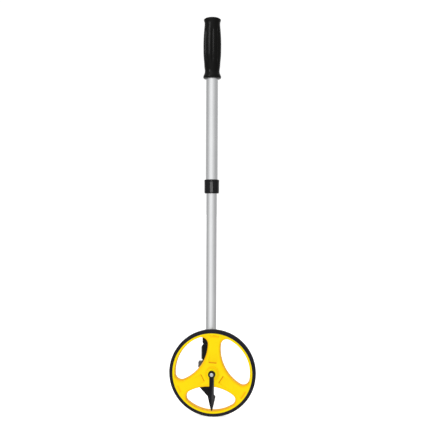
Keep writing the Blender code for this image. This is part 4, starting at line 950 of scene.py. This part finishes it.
def make_reset_lever():
    """Hub, arm and finger as soft-edged plates, and a thumb pad whose outer face is a row of
    ridges: its outline's left side follows a wave."""
    rise = LEVER_Z + np.linspace(PAD_HALF, -PAD_HALF, 46)
    ridges = RIDGE_HEIGHT * np.cos((rise - rise[-1]) * TURN / RIDGE_PITCH)
    wave = LEVER_X - PAD_OUTER - ridges
    ends = np.clip(np.minimum(rise - rise[-1], rise[0] - rise) / 1.0, 0, 1)
    left = np.stack([wave + 0.8 * (1 - ends) ** 2, rise], 1)
    right = rounded([
        (LEVER_X - 11.5, rise[-1] - 0.05, 0), (LEVER_X - PAD_INNER, rise[-1], 0.8),
        (LEVER_X - PAD_INNER, rise[0], 0.8), (LEVER_X - 11.5, rise[0] + 0.05, 0),
    ])
    pad = np.concatenate([left, right, left[:1]])
    arm = rectangle(LEVER_X - 10, LEVER_X + 1, LEVER_Z - 2, LEVER_Z + 2, 0.3)
    finger = rectangle(LEVER_X - 1.1, LEVER_X + 1.1, LEVER_Z + 0.5, LEVER_Z + 10.3, 0.4)
    hub = rounded([
        (3.0, LEVER_FRONT, 0.3), (3.0, LEVER_BACK, 0.3), (1.8, LEVER_BACK, 0.1),
        (1.8, LEVER_FRONT, 0.1),
    ], closed=True, steps=4)
    grids = [
        slab(pad, LEVER_FRONT, LEVER_BACK, 0.7), slab(arm, LEVER_FRONT + 0.1, LEVER_BACK - 0.1, 0.3),
        slab(finger, LEVER_FRONT + 0.15, LEVER_BACK - 0.15, 0.3),
        turned(hub, full_turn(40), centre=(LEVER_X, LEVER_Z)),
    ]
    make_piece("reset_tab_ridged", [(TAB_GREY, grids)], "lever", ["reset_lever"], 30)


# Numerals of the drums: plain strokes in a box six tenths wide and one high

STROKES = {
    0: [[(0.30, 1.0), (0.10, 0.88), (0.02, 0.5), (0.10, 0.12), (0.30, 0.0), (0.50, 0.12),
         (0.58, 0.5), (0.50, 0.88), (0.30, 1.0)]],
    1: [[(0.10, 0.78), (0.34, 1.0), (0.34, 0.0)]],
    2: [[(0.04, 0.76), (0.14, 0.95), (0.32, 1.0), (0.50, 0.92), (0.56, 0.72), (0.44, 0.46),
         (0.04, 0.0), (0.58, 0.0)]],
    3: [[(0.05, 0.88), (0.26, 1.0), (0.50, 0.90), (0.52, 0.68), (0.28, 0.54), (0.54, 0.40),
         (0.56, 0.16), (0.30, 0.0), (0.04, 0.12)]],
    4: [[(0.42, 0.0), (0.42, 1.0), (0.02, 0.30), (0.60, 0.30)]],
    5: [[(0.54, 1.0), (0.10, 1.0), (0.06, 0.56), (0.30, 0.62), (0.54, 0.48), (0.56, 0.20),
         (0.32, 0.0), (0.04, 0.10)]],
    6: [[(0.48, 0.98), (0.18, 0.78), (0.04, 0.42), (0.08, 0.12), (0.30, 0.0), (0.54, 0.14),
         (0.55, 0.44), (0.32, 0.58), (0.08, 0.44)]],
    7: [[(0.02, 1.0), (0.58, 1.0), (0.24, 0.0)]],
    8: [[(0.30, 0.54), (0.08, 0.68), (0.10, 0.90), (0.30, 1.0), (0.50, 0.90), (0.52, 0.68),
         (0.30, 0.54), (0.04, 0.36), (0.06, 0.12), (0.30, 0.0), (0.54, 0.12), (0.56, 0.36),
         (0.30, 0.54)]],
    9: [[(0.12, 0.02), (0.42, 0.22), (0.56, 0.58), (0.52, 0.88), (0.30, 1.0), (0.06, 0.86),
         (0.05, 0.56), (0.28, 0.42), (0.52, 0.56)]],
}
NUMERAL_HEIGHT = 3.9
STROKE_WIDTH = 0.42
DRUM_RADIUS = 9.0
DRUM_X = -8.6
DRUM_Z = 31.2378


def stroke_grid(stroke, digit, start):
    """A flat bar carried along a stroke and wrapped on the drum: across runs along Y, and height
    over the drum's radius is the angle. Its ends are closed at their middles."""
    knots = np.array(stroke) * NUMERAL_HEIGHT
    knots -= np.array([0.3, 0.5]) * NUMERAL_HEIGHT
    knots[:, 0] *= 0.9
    lengths = np.concatenate([[0], np.cumsum(np.hypot(*np.diff(knots, axis=0).T))])
    at = np.unique(np.concatenate([np.linspace(0, lengths[-1], 36), lengths]))
    path = np.stack([np.interp(at, lengths, knots[:, axis]) for axis in (0, 1)], 1)
    way = np.gradient(path, axis=0)
    way /= np.hypot(*way.T)[:, None]
    side = np.stack([-way[:, 1], way[:, 0]], 1) * STROKE_WIDTH / 2
    rows = []
    for share, height in ((-1, -0.1), (-1, 0.04), (1, 0.04), (1, -0.1), (-1, -0.1)):
        spot = path + side * share
        angle = (spot[:, 1] / DRUM_RADIUS) - digit * TURN / 10
        radius = DRUM_RADIUS + height
        rows.append(np.stack([
            DRUM_X - radius * np.cos(angle), start + 2.55 - spot[:, 0],
            DRUM_Z + radius * np.sin(angle),
        ], -1))
    grid = np.stack(rows, 1)
    ends = [np.broadcast_to(grid[row, :-1].mean(0), grid[row].shape)[None] for row in (0, -1)]
    return np.concatenate([ends[0], grid, ends[1]])


def make_numerals():
    """The ten numerals round each of the five drums."""
    for drum in range(1, 6):
        start = 18.45 + 4.2 * (drum - 1)
        grids = [
            stroke_grid(stroke, digit, start)
            for digit, strokes in STROKES.items() for stroke in strokes
        ]
        make_piece(f"drum_numerals_{drum}", [(NUMERAL_INK, grids)], f"drum_{drum}")


def make_shells():
    """The housing's two halves, with soft edges."""
    softened("front_shell", "front_shell_soft", 0.5, HOUSING_BLACK)
    softened("rear_shell", "rear_shell_soft", 0.5, HOUSING_BLACK)


def dress_frame_nodes():
    """Carried-over CAD nodes get the finish of what they are made of."""
    finishes = {
        "white_pom": WHITE_ACETAL, "zinc_steel": ZINC_STEEL, "spring_steel": SPRING_WIRE,
        "grey_abs": FRAME_GREY, "black_abs": HOUSING_BLACK, "tube_aluminium": TUBE_SATIN,
        "yellow_abs": YELLOW_ABS, "tyre_rubber": TYRE_SIDE, "grip_rubber": GRIP_RUBBER,
        "clear_pc": CLEAR_WINDOW,
    }
    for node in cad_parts.values():
        for place in node.material_slots:
            place.material = finishes[place.material.name]


# Floor, light and camera

def make_floor():
    """A wide round sheet of pale card under the object. Only the eye sees it: the tent alone
    lights the object and shows in its gloss, and a card may stand below the floor's level."""
    made, tree = new_finish("pale_card")
    place = add(tree, "ShaderNodeTexCoord").outputs["Object"]
    fibre = add(tree, "ShaderNodeTexNoise", Vector=place, Scale=1 / (3.0 * MM), Detail=3.0)
    colour = add(tree, "ShaderNodeMix", {"data_type": "RGBA"}, n0=fibre.outputs["Fac"],
                 n6=linear("#F3F3F3"), n7=linear("#F8F8F8"))
    shader = add(tree, "ShaderNodeBsdfPrincipled", Base_Color=colour.outputs[2], Roughness=0.9,
                 Emission_Color=(1, 1, 1, 1), Emission_Strength=0.65)
    close_finish(tree, shader)
    grid = turned([(0, 0), (1000, 0), (60000, 0)], full_turn(48), True)
    points, quads = join_grids([grid])
    mesh = bpy.data.meshes.new("floor")
    mesh.from_pydata(points * MM - np.array([0, 0, 0.00005]), [], np.concatenate(quads))
    mesh.materials.append(made)
    floor = bpy.data.objects.new("floor", mesh)
    floor.visible_diffuse = False
    floor.visible_glossy = False
    floor.visible_shadow = False
    bpy.context.scene.collection.objects.link(floor)


def aimed(name, lamp, turn, rise, height=0.36, distance=0.0, only=None):
    """Links a lamp that faces a height on the object's axis from a turn to the right of its front
    and a rise, in degrees. Given a piece, it lights nothing else."""
    made = bpy.data.objects.new(name, lamp)
    turn, rise = math.radians(turn), math.radians(rise)
    way = np.array([
        math.sin(turn) * math.cos(rise), -math.cos(turn) * math.cos(rise), math.sin(rise),
    ])
    made.location = np.array([0, 0, height]) + way * distance
    made.rotation_euler = (math.pi / 2 - rise, 0, turn)
    made.visible_camera = False
    bpy.context.scene.collection.objects.link(made)
    if only:
        lit = bpy.data.collections.new(name)
        lit.objects.link(only)
        made.light_linking.receiver_collection = lit


# The tent's level at turns to the right of the object's front, in degrees.
TENT = (
    (-180, 0.70), (-125, 0.42), (-90, 0.44), (-68, 0.52), (-46, 0.76), (-25, 0.93), (-8, 1.00),
    (13, 0.87), (33, 0.69), (53, 0.57), (75, 0.45), (125, 0.42), (180, 0.70),
)
TENT_PEAK = 1.28


def make_tent():
    """A studio tent whose level depends on the turn round the object alone, so that an upright
    tube shows the same soft band from end to end. The eye sees plain white past the object."""
    world = bpy.data.worlds.new("studio")
    bpy.context.scene.world = world
    world.use_nodes = True
    tree = world.node_tree
    tree.nodes.clear()
    way = add(tree, "ShaderNodeTexCoord").outputs["Generated"]
    parts = add(tree, "ShaderNodeSeparateXYZ", Vector=way)
    ahead = add(tree, "ShaderNodeMath", {"operation": "MULTIPLY"}, n0=parts.outputs["Y"], n1=-1.0)
    turn = add(tree, "ShaderNodeMath", {"operation": "ARCTAN2"}, n0=parts.outputs["X"],
               n1=ahead.outputs[0])
    share = add(tree, "ShaderNodeMapRange", Value=turn.outputs[0], n1=-math.pi, n2=math.pi)
    ramp = add(tree, "ShaderNodeValToRGB", Fac=share.outputs["Result"])
    stops = ramp.color_ramp.elements
    for degrees, level in TENT:
        stop = stops.new((degrees + 180) / 360)
        stop.color = (level, level, level, 1)
    stops.remove(stops[-1])
    stops.remove(stops[0])
    tent = add(tree, "ShaderNodeBackground", Color=ramp.outputs["Color"], Strength=TENT_PEAK)
    plain = add(tree, "ShaderNodeBackground", Color=(1, 1, 1, 1), Strength=1.05)
    sight = add(tree, "ShaderNodeLightPath").outputs["Is Camera Ray"]
    mix = add(tree, "ShaderNodeMixShader", n0=sight, n1=tent.outputs[0], n2=plain.outputs[0])
    add(tree, "ShaderNodeOutputWorld", Surface=mix.outputs[0])


def make_lamps(pointer, collar, grip):
    """A weak soft lamp high at the left, and three cards that draw the highlights on the pointer,
    the collar and the grip."""
    sun = bpy.data.lights.new("overhead", "SUN")
    sun.energy = 0.32
    sun.angle = math.radians(40)
    aimed("overhead", sun, -30, 50)
    for name, piece, width, height, level, place in (
        ("pointer_card", pointer, 0.8, 0.5, 6.5, (48, 0, -0.16, 1.0)),
        ("collar_card", collar, 0.5, 0.9, 22.0, (0, 2, 0.42, 2.4)),
        ("grip_card", grip, 0.55, 1.0, 9.0, (-35, 22, 0.68, 2.4)),
    ):
        card = bpy.data.lights.new(name, "AREA")
        card.shape = "RECTANGLE"
        card.size, card.size_y = width, height
        card.energy = level * math.pi * width * height
        aimed(name, card, *place, only=piece)


def make_camera():
    """A long lens a little to the right of the front and above the middle."""
    lens = bpy.data.cameras.new("camera")
    lens.sensor_width = 36
    lens.lens = 55.85
    lens.clip_end = 200
    camera = bpy.data.objects.new("camera", lens)
    camera.location = (0.1192, -1.22725, 0.37678)
    aim = (
        Matrix.Rotation(math.radians(5.44), 3, "Z") @ Matrix.Rotation(math.radians(89.62), 3, "X")
        @ Matrix.Rotation(math.radians(0.24), 3, "Z")
    )
    camera.rotation_euler = aim.to_euler()
    bpy.context.scene.collection.objects.link(camera)
    bpy.context.scene.camera = camera


bpy.context.scene.view_settings.view_transform = "Standard"
make_camera()
make_tent()
make_floor()
dress_frame_nodes()
make_road_wheel()
make_tyre()
make_screws()
make_nut()
make_tubes()
make_lamps(make_pointer(), make_collar(), make_grip())
make_shells()
make_display()
make_reset_lever()
make_numerals()
